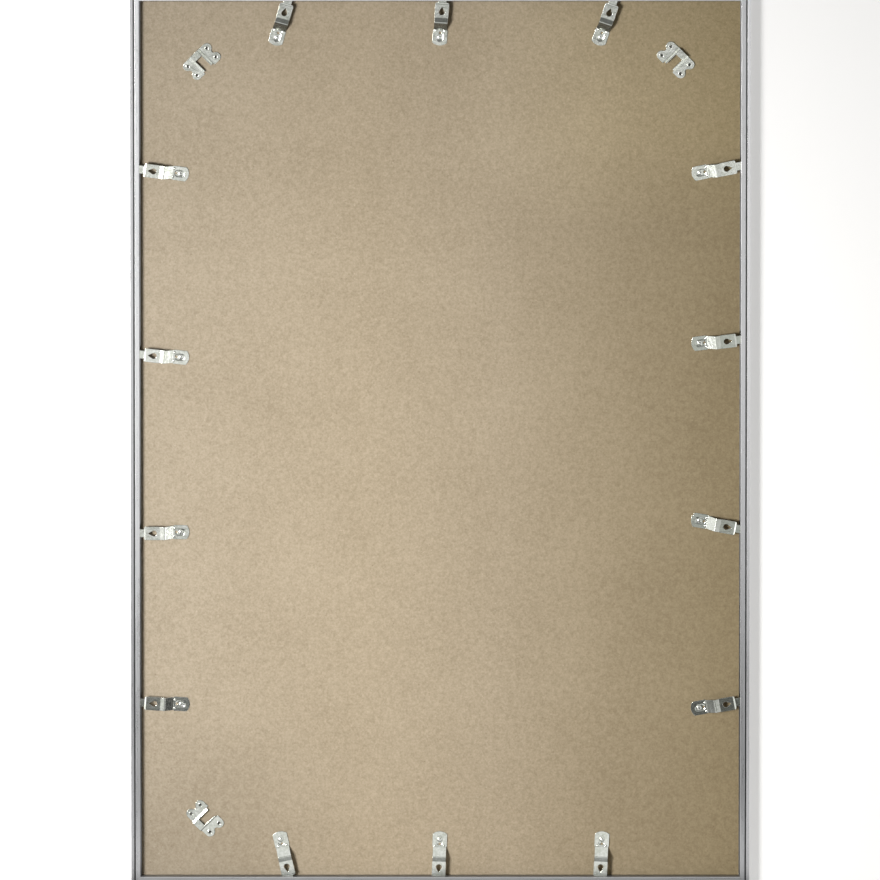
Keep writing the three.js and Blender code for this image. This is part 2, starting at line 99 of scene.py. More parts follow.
@dataclass(frozen=True)
class Place:
    """Where a piece sits on the panel's back face, and which way its length points.

    Args:
        centre: x and z of the piece's own origin, in metres.
        length_way: unit vector in x and z that its first axis points along.
    """

    centre: tuple[float, float]
    length_way: tuple[float, float]

    def to_world(self, local: np.ndarray) -> np.ndarray:
        """Turn and move local points to the panel.

        A point (a, h, b) goes to centre + a * way + b * across, raised by h from the panel, where
        across is way turned a quarter turn in the panel's plane.

        Args:
            local: points as (along, height, across) in millimetres, shape (n, 3).

        Returns:
            Points in metres in the frame's own axes, shape (n, 3).
        """
        way_x, way_z = self.length_way
        along, height, across = local.T * MM
        x = self.centre[0] + along * way_x - across * way_z
        z = self.centre[1] + along * way_z + across * way_x
        return np.column_stack([x, PANEL_BACK + height, z])


def mesh_object(
    name: str,
    points: np.ndarray,
    cells: np.ndarray,
    material: Material,
) -> Piece:
    """Put points and four-sided cells into a smooth mesh object at the origin.

    Corners of a cell that share a place are merged, so a cell may close to a triangle.

    Args:
        name: object name.
        points: shape (n, 3), in metres.
        cells: shape (m, 4), corner indices, outward by the right-hand rule.
        material: finish of the whole piece.

    Returns:
        The new object, linked to the scene.
    """
    merge_within = 0.002 * MM
    keys = np.round(points / merge_within).astype(np.int64)
    _, first, joined = np.unique(keys, axis=0, return_index=True, return_inverse=True)
    corners = joined.reshape(-1)[cells]
    keep = corners != np.roll(corners, 1, axis=1)
    sizes = keep.sum(axis=1)
    solid = sizes >= 3
    corners, keep, sizes = corners[solid], keep[solid], sizes[solid]
    mesh = bpy.data.meshes.new(name)
    mesh.vertices.add(len(first))
    mesh.vertices.foreach_set("co", points[first].astype(np.float32).ravel())
    mesh.loops.add(int(sizes.sum()))
    mesh.loops.foreach_set("vertex_index", corners[keep].astype(np.int32))
    mesh.polygons.add(len(sizes))
    mesh.polygons.foreach_set("loop_start", (np.cumsum(sizes) - sizes).astype(np.int32))
    mesh.polygons.foreach_set("use_smooth", np.ones(len(sizes), dtype=bool))
    mesh.update(calc_edges=True)
    mesh.validate()
    mesh.materials.append(material)
    made = bpy.data.objects.new(name, mesh)
    bpy.context.scene.collection.objects.link(made)
    return made


def edge_loops(cells: np.ndarray) -> np.ndarray:
    """Give the directed outer edges of a set of cells: those that only one cell has.

    Args:
        cells: shape (m, 4), corner indices.

    Returns:
        Shape (k, 2), from and to index of each edge, with the cells on its left.
    """
    edges = np.stack([cells, np.roll(cells, -1, axis=1)], axis=2).reshape(-1, 2)
    edges = edges[edges[:, 0] != edges[:, 1]]
    span = edges.max() + 1
    forward = edges[:, 0] * span + edges[:, 1]
    backward = edges[:, 1] * span + edges[:, 0]
    return edges[~np.isin(forward, backward)]


@dataclass
class Bends:
    """Middle line of a bent strip, worked out once as dense arrays.

    The line runs straight between corners, and each corner is an arc of inside radius + half the
    thickness, tangent to both sides.

    Args:
        corners: (run, height) of each corner of the middle line, in millimetres.
        radii: inside radius of the bend at each inner corner.
        thickness: sheet thickness.
        arc_points: points on each bend.
    """

    corners: list[tuple[float, float]]
    radii: list[float]
    thickness: float
    arc_points: int = 9
    run: np.ndarray = field(init=False)
    height: np.ndarray = field(init=False)
    lean: np.ndarray = field(init=False)
    length: np.ndarray = field(init=False)

    def __post_init__(self) -> None:
        """Lay out the line's points, its angle at each, and its length up to each."""
        corners = np.array(self.corners, dtype=float)
        steps = np.diff(corners, axis=0)
        leans = np.arctan2(steps[:, 1], steps[:, 0])
        points, angles = [corners[:1]], [leans[:1]]
        for corner, radius, before, after in zip(corners[1:-1], self.radii, leans[:-1], leans[1:]):
            turn = (after - before + math.pi) % (2 * math.pi) - math.pi
            reach = (radius + self.thickness / 2) * math.tan(abs(turn) / 2)
            swing = before + turn * np.linspace(0, 1, self.arc_points)
            start = corner - reach * np.array([math.cos(before), math.sin(before)])
            side = math.copysign(radius + self.thickness / 2, turn)
            centre = start + side * np.array([-math.sin(before), math.cos(before)])
            arc = centre + side * np.column_stack([np.sin(swing), -np.cos(swing)])
            points.append(arc)
            angles.append(swing)
        points.append(corners[-1:])
        angles.append(leans[-1:])
        line = np.concatenate(points)
        self.run, self.height = line.T
        self.lean = np.concatenate(angles)
        self.length = np.concatenate([[0.0], np.cumsum(np.hypot(*np.diff(line, axis=0).T))])

    def knots(self, by: np.ndarray) -> np.ndarray:
        """Give the places along one measure where the line starts, bends and ends."""
        bent = np.flatnonzero(np.diff(self.lean) != 0)
        return by[np.union1d(bent, bent + 1)]

    def wrap(self, along: np.ndarray, off: np.ndarray, by: np.ndarray) -> tuple[np.ndarray, np.ndarray]:
        """Carry flat points onto the bent line.

        A point lies off the middle line by its distance, measured square to the line.

        Args:
            along: measure of each point on the line, in the terms of by.
            off: distance from the middle line, positive on the upper side.
            by: the line's own array that along refers to, its run or its length.

        Returns:
            Run and height of each point.
        """
        run = np.interp(along, by, self.run)
        height = np.interp(along, by, self.height)
        lean = np.interp(along, by, self.lean)
        return run - off * np.sin(lean), height + off * np.cos(lean)


@dataclass
class Blank:
    """Flat blank of a pressed part: a grid of points drawn by a function, less its openings.

    Args:
        draw: gives every grid point, shape (rows, columns, 2), for an outline drawn in by a distance.
        openings: round or shaped holes, each as (row range, column range, centre, radius function),
            where the radius function takes angles and the distance by which the hole is widened.
        missing: cells that are cut away in one piece, as (row range, column range).
    """

    draw: Callable[[float], np.ndarray]
    openings: list[Opening]
    missing: list[tuple[slice, slice]]
    cells: np.ndarray = field(init=False)
    rings: list[np.ndarray] = field(init=False)

    def __post_init__(self) -> None:
        """Number the grid's cells, take out the openings, and lay a collar of cells round each."""
        rows, columns = self.draw(0.0).shape[:2]
        number = np.arange(rows * columns).reshape(rows, columns)
        cells = np.stack([number[:-1, :-1], number[1:, :-1], number[1:, 1:], number[:-1, 1:]], axis=2)
        keep = np.ones(cells.shape[:2], dtype=bool)
        for row_range, column_range in self.missing:
            keep[row_range, column_range] = False
        total = rows * columns
        collars, self.rings = [], []
        for row_range, column_range, _, _ in self.openings:
            keep[row_range, column_range] = False
            block = number[row_range.start:row_range.stop + 1, column_range.start:column_range.stop + 1]
            around = np.concatenate([block[:-1, 0], block[-1, :-1], block[:0:-1, -1], block[0, :0:-1]])
            rim = total + np.arange(len(around))
            collars.append(np.stack([around, np.roll(around, -1), np.roll(rim, -1), rim], axis=1))
            self.rings.append(around)
            total += len(around)
        self.cells = np.concatenate([cells[keep], *collars])

    def points(self, inset: float) -> np.ndarray:
        """Give all points of the blank and of its holes' rims.

        A rim point lies at its old angle round the hole's centre, at the radius function's reach.

        Args:
            inset: distance by which the outline is drawn in and the holes are widened.

        Returns:
            Shape (n, 2), grid first, then each hole's rim.
        """
        grid = self.draw(inset)
        flat = [grid.reshape(-1, 2)]
        for (_, _, centre, radius), around in zip(self.openings, self.rings):
            from_centre = self.draw(0.0).reshape(-1, 2)[around] - centre
            angle = np.arctan2(from_centre[:, 1], from_centre[:, 0])
            reach = radius(angle, inset)
            flat.append(centre + reach[:, None] * np.column_stack([np.cos(angle), np.sin(angle)]))
        return np.concatenate(flat)


@dataclass
class PressedSheet:
    """Common ways of a part that is stamped from sheet, bent, and left with rolled edges."""

    thickness: float
    edge_radius: float = 0.16
    edge_band: float = 0.1
    edge_steps: int = 4

    def press(
        self,
        blank: Blank,
        form: Callable[[np.ndarray, np.ndarray], np.ndarray],
        top_rise: Callable[[np.ndarray], np.ndarray],
        under_rise: Callable[[np.ndarray], np.ndarray],
    ) -> tuple[np.ndarray, np.ndarray]:
        """Make the closed skin of a pressed sheet.

        The blank's cells lie on both faces. Round every edge runs a band whose inset from the
        outline falls from edge_radius to nothing as its height follows a quarter circle, so the
        edge is rolled over on both faces.

        Args:
            blank: the flat blank.
            form: carries flat points and their distance off the middle line to local points.
            top_rise: how far the upper face is pressed up at each flat point.
            under_rise: the same for the lower face.

        Returns:
            Local points, shape (n, 3), and cells, shape (m, 4).
        """
        half = self.thickness / 2
        roll = np.linspace(0, math.pi / 2, self.edge_steps)
        inset = self.edge_radius * (1 - np.sin(roll))
        height = half - self.edge_radius * (1 - np.cos(roll))
        face_inset = [self.edge_radius + self.edge_band]
        insets = np.concatenate([face_inset, inset, inset[::-1], face_inset])
        heights = np.concatenate([[half], height, -height[::-1], [-half]])
        rim = edge_loops(blank.cells)
        starts = np.unique(rim)
        slot_of = np.zeros(blank.cells.max() + 1, dtype=np.int64)
        slot_of[starts] = np.arange(len(starts))
        layers, levels = [], []
        for ring_inset, level in zip(insets, heights):
            flat = blank.points(ring_inset)
            layers.append(flat if abs(level) == half and ring_inset > self.edge_radius else flat[starts])
            levels.append(np.full(len(layers[-1]), level))
        offsets = np.cumsum([0] + [len(layer) for layer in layers])
        count = len(layers)
        cells = [blank.cells, blank.cells[:, ::-1] + offsets[count - 1]]

        def ring(edge_end: int, layer: int) -> np.ndarray:
            """Give the point numbers of the rim's edge ends on one layer.

            Args:
                edge_end: 0 for where each edge starts, 1 for where it ends.
                layer: which layer of the edge's roll.

            Returns:
                Point numbers, one for each edge of the rim.
            """
            whole = layer in (0, count - 1)
            return offsets[layer] + (rim[:, edge_end] if whole else slot_of[rim[:, edge_end]])

        for layer in range(count - 1):
            band = [ring(1, layer), ring(0, layer), ring(0, layer + 1), ring(1, layer + 1)]
            cells.append(np.stack(band, axis=1))
        flat, level = np.concatenate(layers), np.concatenate(levels)
        share = level / self.thickness + 0.5
        off = level + top_rise(flat) * share + under_rise(flat) * (1 - share)
        return form(flat, off), np.concatenate(cells)


def round_hole(radius: float) -> Radius:
    """Give the radius function of a round hole: the same at every angle, more by the widening."""
    return lambda angle, inset: np.full(angle.shape, radius + inset)


def smooth_step(value: np.ndarray, low: float, high: float) -> np.ndarray:
    """Rise from 0 at low to 1 at high along 3t^2 - 2t^3."""
    share = np.clip((value - low) / (high - low), 0, 1)
    return share * share * (3 - 2 * share)


def spread(keys: Iterable[float], step: float) -> np.ndarray:
    """Give key values and evenly spaced values between them, no more than step apart.

    Args:
        keys: values that the result must hold, in rising order.
        step: largest gap.

    Returns:
        Rising positions counted in keys: 0 at the first key, 1 at the second, and so on.
    """
    keys = np.array(list(keys), dtype=float)
    counts = np.maximum(1, np.ceil(np.diff(keys) / step - 1e-9)).astype(int)
    parts = [index + np.arange(count) / count for index, count in enumerate(counts)]
    return np.concatenate([*parts, [len(keys) - 1.0]])


@dataclass
class TurnClip(PressedSheet):
    """Clip that swings on its rivet and slides its tongue under the rail's lip.

    Lengths are in millimetres. Runs are counted from the rivet towards the rail. foot, crest, pad
    and tongue are heights of the middle line above the panel.
    """

    thickness: float = 0.8
    foot: float = 0.55
    crest: float = 7.9
    pad: float = 7.1
    tongue: float = 6.4
    end_reach: float = 8.6
    end_sagitta: float = 2.9
    bow_fade: float = 4.0
    foot_bend: float = 7.9
    crest_at: float = 16.7
    pad_from: float = 21.6
    pad_to: float = 36.1
    tongue_from: float = 37.3
    reach: float = 44.3
    plate_half: float = 7.4
    hump_half: float = 6.75
    shoulder: float = 1.0
    pad_half: float = 7.0
    pad_chamfer: float = 1.0
    tongue_half: float = 4.15
    tongue_chamfer: float = 0.8
    bend_radius: float = 1.0
    riser_radius: float = 0.3
    rivet_hole: float = 1.7
    peephole: float = 1.3
    peephole_at: float = 4.6
    drop_radius: float = 2.95
    drop_at: float = 27.5
    drop_tip: float = 6.1
    drop_cut: float = 0.5
    dish_shift: float = 0.9
    dish_run: float = 1.7
    dish_half: float = 3.3
    dish_depth: float = 0.3
    dish_slope: tuple[float, float] = (-0.3, 0.2)
    pip_at: float = 6.9
    pip_across: float = 4.4
    pip_radius: float = 1.35
    pip_flat: float = 0.25
    pip_height: float = 0.4
    columns: int = 32
    row_step: float = 0.42

    def bends(self) -> Bends:
        """Give the clip's middle line from its rounded end to the tongue's tip.

        Returns:
            The bent line.
        """
        corners = [
            (-self.end_reach, self.foot),
            (self.foot_bend, self.foot),
            (self.crest_at, self.crest),
            (self.pad_from, self.pad),
            (self.pad_to, self.pad),
            (self.tongue_from, self.tongue),
            (self.reach, self.tongue),
        ]
        radii = [self.bend_radius] * 3 + [self.riser_radius] * 2
        return Bends(corners, radii, self.thickness)

    def outline(self, inset: float) -> tuple[np.ndarray, np.ndarray]:
        """Give the side outline as rising runs and half widths, drawn in by a distance.

        A corner where the side turns by 45 degrees moves back by 0.414 of the distance.

        Args:
            inset: distance by which the outline is drawn in.

        Returns:
            Runs and half widths of the outline's corners.
        """
        nick = inset * (math.sqrt(2) - 1)
        hair = 0.05
        corners = [
            (self.side_start(inset), self.plate_half - inset),
            (self.foot_bend - self.shoulder, self.plate_half - inset),
            (self.foot_bend, self.hump_half - inset),
            (self.pad_from, self.hump_half - inset),
            (self.pad_from + self.shoulder, self.pad_half - inset),
            (self.tongue_from - self.pad_chamfer - nick, self.pad_half - inset),
            (self.tongue_from - inset, self.pad_half - self.pad_chamfer - nick),
            (self.tongue_from - inset + hair, self.tongue_half - inset),
            (self.reach - self.tongue_chamfer - nick, self.tongue_half - inset),
            (self.reach - inset, self.tongue_half - self.tongue_chamfer - nick),
        ]
        runs, halves = np.array(corners).T
        return runs, halves

    def end_radius(self) -> float:
        """Give the radius of the rounded end, from its chord and sagitta."""
        return (self.plate_half**2 + self.end_sagitta**2) / (2 * self.end_sagitta)

    def end_bow(self, half: np.ndarray, inset: float) -> np.ndarray:
        """Give the run of the rounded end at each distance from the middle."""
        radius = self.end_radius()
        return radius - self.end_reach - np.sqrt((radius - inset) ** 2 - half**2)

    def side_start(self, inset: float) -> float:
        """Give the run where the rounded end meets the side."""
        return float(self.end_bow(np.array(self.plate_half - inset), inset))

    def blank(self) -> Blank:
        """Draw the flat blank.

        Columns are shares -1 to 1 of the half width. Rows run across at a constant run, and bow
        into the end's arc over the last few millimetres.

        Returns:
            The blank, with its rivet hole, peephole and teardrop hole.
        """
        bends = self.bends()
        keys, _ = self.outline(0.0)
        folds = bends.knots(bends.run)
        least_gap = 0.3
        folds = folds[np.min(np.abs(folds[:, None] - keys[None, :]), axis=1) > least_gap]
        marks = np.sort(np.concatenate([keys, folds]))
        places = spread(marks, self.row_step)
        base = np.interp(places, np.arange(len(marks)), marks)
        share = np.linspace(-1, 1, self.columns + 1)

        def draw(inset: float) -> np.ndarray:
            """Give the grid for an outline drawn in by a distance.

            Args:
                inset: the distance.

            Returns:
                Run and place across of each point, shape (rows, columns, 2).
            """
            runs, halves = self.outline(inset)
            moved = np.interp(base, keys, runs)
            half = np.interp(moved, runs, halves)
            across = half[:, None] * share[None, :]
            bow = self.end_bow((self.plate_half - inset) * share, inset) - self.side_start(inset)
            fade = np.clip(1 - (base - base[0]) / self.bow_fade, 0, 1)
            return np.stack([moved[:, None] + fade[:, None] * bow[None, :], across], axis=2)

        def block(run: float, reach_back: float, reach_on: float, half: float) -> tuple[slice, slice]:
            """Give the grid cells round a hole.

            Args:
                run: the hole's centre.
                reach_back: how far the cells reach back from it.
                reach_on: how far they reach on.
                half: how far they reach to either side.

            Returns:
                Row and column range.
            """
            rows = np.flatnonzero((base > run - reach_back) & (base < run + reach_on))
            width = np.interp(run, keys, self.outline(0.0)[1])
            inner = np.flatnonzero(np.abs(share * width) < half)
            return slice(rows[0], rows[-1]), slice(inner[0], inner[-1])

        # The cells that each hole is cut from reach a little beyond it
        openings = [
            (*block(0.0, 2.3, 2.3, 2.4), (0.0, 0.0), round_hole(self.rivet_hole)),
            (*block(self.peephole_at, 1.9, 1.9, 2.0), (self.peephole_at, 0.0), round_hole(self.peephole)),
            (*block(self.drop_at, 4.3, 7.0, 4.2), (self.drop_at, 0.0), self.drop),
        ]
        return Blank(draw, openings, [])

    def drop(self, angle: np.ndarray, inset: float) -> np.ndarray:
        """Give the teardrop hole's reach: a circle, and flanks tangent to it up to a cut tip.

        Args:
            angle: direction from the round end's centre, 0 towards the tip.
            inset: distance by which the hole is widened.

        Returns:
            Distance of the hole's edge at each angle.
        """
        lean = math.acos(self.drop_radius / self.drop_tip)
        off = np.abs(angle)
        flank = (self.drop_radius + inset) / np.cos(np.clip(lean - off, 0, lean))
        tip = (self.drop_tip - self.drop_cut + inset) / np.maximum(np.cos(off), 0.05)
        return np.minimum(flank, tip)

    def top_rise(self, flat: np.ndarray) -> np.ndarray:
        """Press the dish down and the two pips up; both fade over a short slope.

        The dish is the set of points within dish_half of a short line through dish_shift.

        Args:
            flat: run and place across of each point.

        Returns:
            Rise of the upper face at each point.
        """
        run, across = flat.T
        beyond = np.abs(run - self.dish_shift) - self.dish_run
        from_line = np.hypot(np.maximum(beyond, 0), across)
        slope_from, slope_to = (self.dish_half + part for part in self.dish_slope)
        dish = self.dish_depth * (1 - smooth_step(from_line, slope_from, slope_to))
        return self.pips(flat) - dish

    def pips(self, flat: np.ndarray) -> np.ndarray:
        """Raise two round pips whose height falls to nothing at pip_radius."""
        from_pip = np.hypot(flat[:, 0] - self.pip_at, np.abs(flat[:, 1]) - self.pip_across)
        return self.pip_height * (1 - smooth_step(from_pip, self.pip_flat, self.pip_radius))

    def make(self, name: str, place: Place, material: Material) -> Piece:
        """Build one clip.

        Args:
            name: object name.
            place: the rivet's place on the panel, and the way that the tongue points.
            material: finish.

        Returns:
            The clip's object.
        """
        bends = self.bends()

        def form(flat: np.ndarray, off: np.ndarray) -> np.ndarray:
            """Bend flat points along the clip's middle line.

            Args:
                flat: run and place across of each point.
                off: distance off the middle line.

            Returns:
                Local points, shape (n, 3).
            """
            run, height = bends.wrap(flat[:, 0], off, bends.run)
            return np.column_stack([run, height, flat[:, 1]])

        points, cells = self.press(self.blank(), form, self.top_rise, self.pips)
        return mesh_object(name, place.to_world(points), cells[:, ::-1], material)


@dataclass
class Hanger(PressedSheet):
    """Raised bridge between two riveted wings, that hooks over a nail.

    Lengths are in millimetres. The first axis points at the bar, the second across the legs.
    """

    thickness: float = 1.0
    foot: float = 0.6
    rise: float = 2.6
    wall_at: float = 5.85
    bend_radius: float = 0.5
    bar_reach: float = 12.0
    bar_inner: float = 4.9
    leg_reach: float = 9.0
    window_half: float = 4.25
    rivet_along: float = 6.55
    rivet_across: float = 13.55
    lobe_radius: float = 4.9
    notch_radius: float = 2.5
    rivet_hole: float = 1.7
    lobe_lines: int = 15
    wing_rows: int = 13
    row_step: float = 0.8

    def bends(self) -> Bends:
        """Give the middle line across one half, from the bridge's middle to past the wing's end."""
        corners = [
            (0.0, self.foot + self.rise),
            (self.wall_at, self.foot + self.rise),
            (self.wall_at, self.foot),
            (self.rivet_across + self.lobe_radius + 1, self.foot),
        ]
        return Bends(corners, [self.bend_radius] * 2, self.thickness)

    def lobe_edge(self, along: np.ndarray, inset: float) -> np.ndarray:
        """Give how far the wing reaches across at each place along it.

        Outside the notch it is the lobes' circle, and between the lobes the notch's circle.

        Args:
            along: places along the wing.
            inset: distance by which the outline is drawn in.

        Returns:
            Distance from the hanger's middle to the wing's edge.
        """
        rise = self.notch_rise()
        meet = self.rivet_along * self.notch_radius / (self.lobe_radius + self.notch_radius)
        off_lobe = np.abs(along) - self.rivet_along
        lobe = np.sqrt(np.maximum((self.lobe_radius - inset) ** 2 - off_lobe**2, 0))
        notch = np.sqrt(np.maximum((self.notch_radius + inset) ** 2 - along**2, 0))
        return self.rivet_across + np.where(np.abs(along) < meet, rise - notch, lobe)

    def notch_rise(self) -> float:
        """Give how far the notch's centre lies beyond the rivets, where its circle meets the lobes'."""
        return math.sqrt((self.lobe_radius + self.notch_radius) ** 2 - self.rivet_along**2)

    def wing_lines(self, inset: float) -> np.ndarray:
        """Give the places along the wing of its grid lines, evenly turned round each lobe.

        Args:
            inset: distance by which the outline is drawn in.

        Returns:
            Rising places along the wing, the same on both sides of its middle.
        """
        last = math.pi - math.atan2(self.notch_rise(), self.rivet_along)
        turn = np.linspace(0, last, self.lobe_lines)
        lobe = self.rivet_along + (self.lobe_radius - inset) * np.cos(turn)
        notch = lobe[-1] * np.array([0.66, 0.33, 0.0])
        half = np.concatenate([lobe, notch])
        return np.concatenate([-half, half[-2::-1]])

    def blank(self) -> Blank:
        """Draw the flat blank, whose first measure runs along the legs and second across them.

        Returns:
            The blank, with its window missing and its four rivet holes.
        """
        bends = self.bends()
        lines = self.wing_lines(0.0)
        bar_line = int(np.argmin(np.abs(lines - self.bar_inner)))
        fold_ends = bends.knots(bends.length)
        wing_root = fold_ends[-1]
        step_width, least_gap = 0.3, 0.12
        step_at = wing_root - step_width
        keys = [0.0, self.window_half, *fold_ends[fold_ends < step_at - least_gap], step_at, wing_root]
        marks = np.array(keys)
        places = spread(marks, self.row_step)
        inner = np.interp(places, np.arange(len(marks)), marks)
        share = np.linspace(0, 1, self.wing_rows)[1:]
        to_wing = wing_root - float(np.interp(wing_root, bends.length, bends.run))
        rows_half = len(inner) + len(share)

        def draw(inset: float) -> np.ndarray:
            """Give the grid for an outline drawn in by a distance.

            Args:
                inset: the distance.

            Returns:
                Place along and across of each point, shape (rows, columns, 2).
            """
            wing = self.wing_lines(inset)
            line_keys = [lines[0], lines[bar_line], lines[-1]]
            core_keys = [-self.leg_reach + inset, self.bar_inner + inset, self.bar_reach - inset]
            core = np.interp(lines, line_keys, core_keys)
            window = np.interp(inner, marks, np.where(marks == self.window_half, marks + inset, marks))
            along = np.where((inner < wing_root - 0.01)[:, None], core[None, :], wing[None, :])
            across = np.repeat(window[:, None], len(lines), axis=1)
            edge = self.lobe_edge(wing, inset) + to_wing
            outer = wing_root + share[:, None] * (edge - wing_root)[None, :]
            wings = np.repeat(wing[None, :], len(share), axis=0)
            half = np.stack([np.concatenate([along, wings]), np.concatenate([across, outer])], axis=2)
            mirrored = half[:0:-1] * np.array([1.0, -1.0])
            return np.concatenate([mirrored, half])

        middle = rows_half - 1
        window_rows = int(np.flatnonzero(np.isclose(inner, self.window_half))[0])
        missing = [(slice(middle - window_rows, middle + window_rows), slice(0, bar_line))]
        grid = draw(0.0)
        cut_along, cut_across = 2.5, 2.4
        openings = []
        for side in (-1, 1):
            for sign in (-1, 1):
                centre = (side * self.rivet_along, sign * (self.rivet_across + to_wing))
                columns = np.flatnonzero(np.abs(lines - centre[0]) < cut_along)
                column = columns[len(columns) // 2]
                rows = np.flatnonzero(np.abs(grid[:, column, 1] - centre[1]) < cut_across)
                block = slice(rows[0], rows[-1]), slice(columns[0], columns[-1])
                openings.append((*block, centre, round_hole(self.rivet_hole)))
        return Blank(draw, openings, missing)

    def make(self, name: str, place: Place, material: Material) -> Piece:
        """Build one hanger.

        Args:
            name: object name.
            place: the middle of the four rivets, and the way that the bar lies.
            material: finish.

        Returns:
            The hanger's object.
        """
        bends = self.bends()

        def form(flat: np.ndarray, off: np.ndarray) -> np.ndarray:
            """Bend flat points down both sides of the bridge.

            Args:
                flat: place along and across of each point.
                off: distance off the middle line.

            Returns:
                Local points, shape (n, 3).
            """
            side = np.sign(flat[:, 1])
            run, height = bends.wrap(np.abs(flat[:, 1]), off, bends.length)
            return np.column_stack([flat[:, 0], height, side * run])

        def level(flat: np.ndarray) -> np.ndarray:
            """Leave both faces unpressed."""
            return np.zeros(len(flat))

        points, cells = self.press(self.blank(), form, level, level)
        return mesh_object(name, place.to_world(points), cells, material)


def rounded_loop(corners: np.ndarray, radii: np.ndarray, steps: int = 5) -> np.ndarray:
    """Round the corners of a closed outline.

    Each corner becomes an arc of its radius, tangent to both sides, from the corner's distance
    radius / tan(half the angle) on one side to the same on the other. A point a little way down
    each side keeps the flat beside it flat.

    Args:
        corners: shape (n, 2), in order.
        radii: radius at each corner.
        steps: points on each arc.

    Returns:
        Shape (n * (steps + 2), 2), in the same order.
    """
    back = np.roll(corners, 1, axis=0) - corners
    on = np.roll(corners, -1, axis=0) - corners
    back /= np.linalg.norm(back, axis=1)[:, None]
    on /= np.linalg.norm(on, axis=1)[:, None]
    half = np.arccos(np.clip((back * on).sum(1), -1, 1)) / 2
    reach = (radii / np.tan(half))[:, None]
    middle = back + on
    middle /= np.linalg.norm(middle, axis=1)[:, None]
    centre = corners + middle * (radii / np.sin(half))[:, None]
    first, last = corners + back * reach - centre, corners + on * reach - centre
    sweep = (math.pi - 2 * half)[:, None]
    share = np.linspace(0, 1, steps)[None, :]
    arc = (np.sin((1 - share) * sweep)[:, :, None] * first[:, None, :]
           + np.sin(share * sweep)[:, :, None] * last[:, None, :]) / np.sin(sweep)[:, :, None]
    arc = centre[:, None, :] + arc
    hold = 0.08
    before, after = arc[:, :1] + back[:, None, :] * hold, arc[:, -1:] + on[:, None, :] * hold
    return np.concatenate([before, arc, after], axis=1).reshape(-1, 2)


@dataclass
class Rail:
    """Drawn rail: display flange, outer wall, inner web and rear lip round an open chamber.

    Lengths are in millimetres. Depth is counted from the display face backwards, and width from
    the outer face inwards.
    """

    depth: float = 15.0
    cover: float = 15.0
    lip: float = 9.5
    wall: float = 1.5
    web: float = 1.2
    slot: float = 3.2
    groove_from: float = 3.1
    groove_width: float = 1.7
    groove_depth: float = 1.1
    gusset: float = 1.6
    strip_fall: float = 0.3

    def section(self) -> np.ndarray:
        """Give the section's outline, with rounded corners.

        Returns:
            Width and depth of each point, shape (n, 2).
        """
        slot_floor = self.depth - self.wall - self.slot
        groove_to = self.groove_from + self.groove_width
        groove_floor = self.depth - self.groove_depth
        groove_lean = 0.1
        marks = [
            (0, 0, 0.4),
            (self.cover, 0, 0.4),
            (self.cover, self.wall, 0.3),
            (self.lip, self.wall, 0.2),
            (self.lip, slot_floor, 0.25),
            (self.lip - self.web, slot_floor, 0.25),
            (self.lip - self.web, self.wall, 0.2),
            (self.wall, self.wall, 0.2),
            (self.wall, self.depth - self.wall - self.gusset / 2, 0.2),
            (self.wall + self.gusset, self.depth - self.wall, 0.2),
            (self.lip, self.depth - self.wall, 0.25),
            (self.lip, self.depth, 0.45),
            (groove_to, self.depth, 0.22),
            (groove_to - groove_lean, groove_floor, 0.15),
            (self.groove_from + groove_lean, groove_floor, 0.15),
            (self.groove_from, self.depth - self.strip_fall, 0.22),
            (0, self.depth, 0.2),
        ]
        widths, depths, radii = np.array(marks, dtype=float).T
        return rounded_loop(np.column_stack([widths, depths]), radii)

    def make(self, node: str, material: Material) -> Piece:
        """Carry the section along one side of the frame, mitred at both ends.

        A section point of width w lies at half the side's length less w, on either side of its
        middle, so that each end is cut at 45 degrees.

        Args:
            node: the rail's solid, whose box gives its side and length.
            material: its finish.

        Returns:
            The rail's object.
        """
        low, high = (np.array(corner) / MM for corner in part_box(node))
        middle, size = (low + high) / 2, high - low
        run, across = (0, 2) if size[0] > size[2] else (2, 0)
        outward = math.copysign(1.0, middle[across])
        outer_face = high[across] if outward > 0 else low[across]
        width, depth = self.section().T
        reach = size[run] / 2 - width
        points = np.empty((2, len(width), 3))
        points[:, :, run] = middle[run] + np.array([[-1.0], [1.0]]) * reach
        points[:, :, across] = outer_face - outward * width
        points[:, :, 1] = low[1] + depth
        count = len(width)
        number = np.arange(count)
        sides = np.stack([number, np.roll(number, -1), np.roll(number, -1) + count, number + count], axis=1)
        caps = [number[::-1].tolist(), (number + count).tolist()]
        faces = sides.tolist() + caps
        turned = outward * (1 if run == 0 else -1)
        if turned < 0:
            faces = [face[::-1] for face in faces]
        mesh = bpy.data.meshes.new(f"{node}_extrusion")
        mesh.from_pydata((points.reshape(-1, 3) * MM).tolist(), [], faces)
        smooth = np.ones(len(faces), dtype=bool)
        smooth[-2:] = False
        mesh.polygons.foreach_set("use_smooth", smooth)
        ends = np.empty(2 * len(mesh.edges), dtype=np.int32)
        mesh.edges.foreach_get("vertices", ends)
        at_end = ends.reshape(-1, 2) // count
        mesh.edges.foreach_set("use_edge_sharp", at_end[:, 0] == at_end[:, 1])
        mesh.materials.append(material)
        made = bpy.data.objects.new(mesh.name, mesh)
        bpy.context.scene.collection.objects.link(made)
        return made


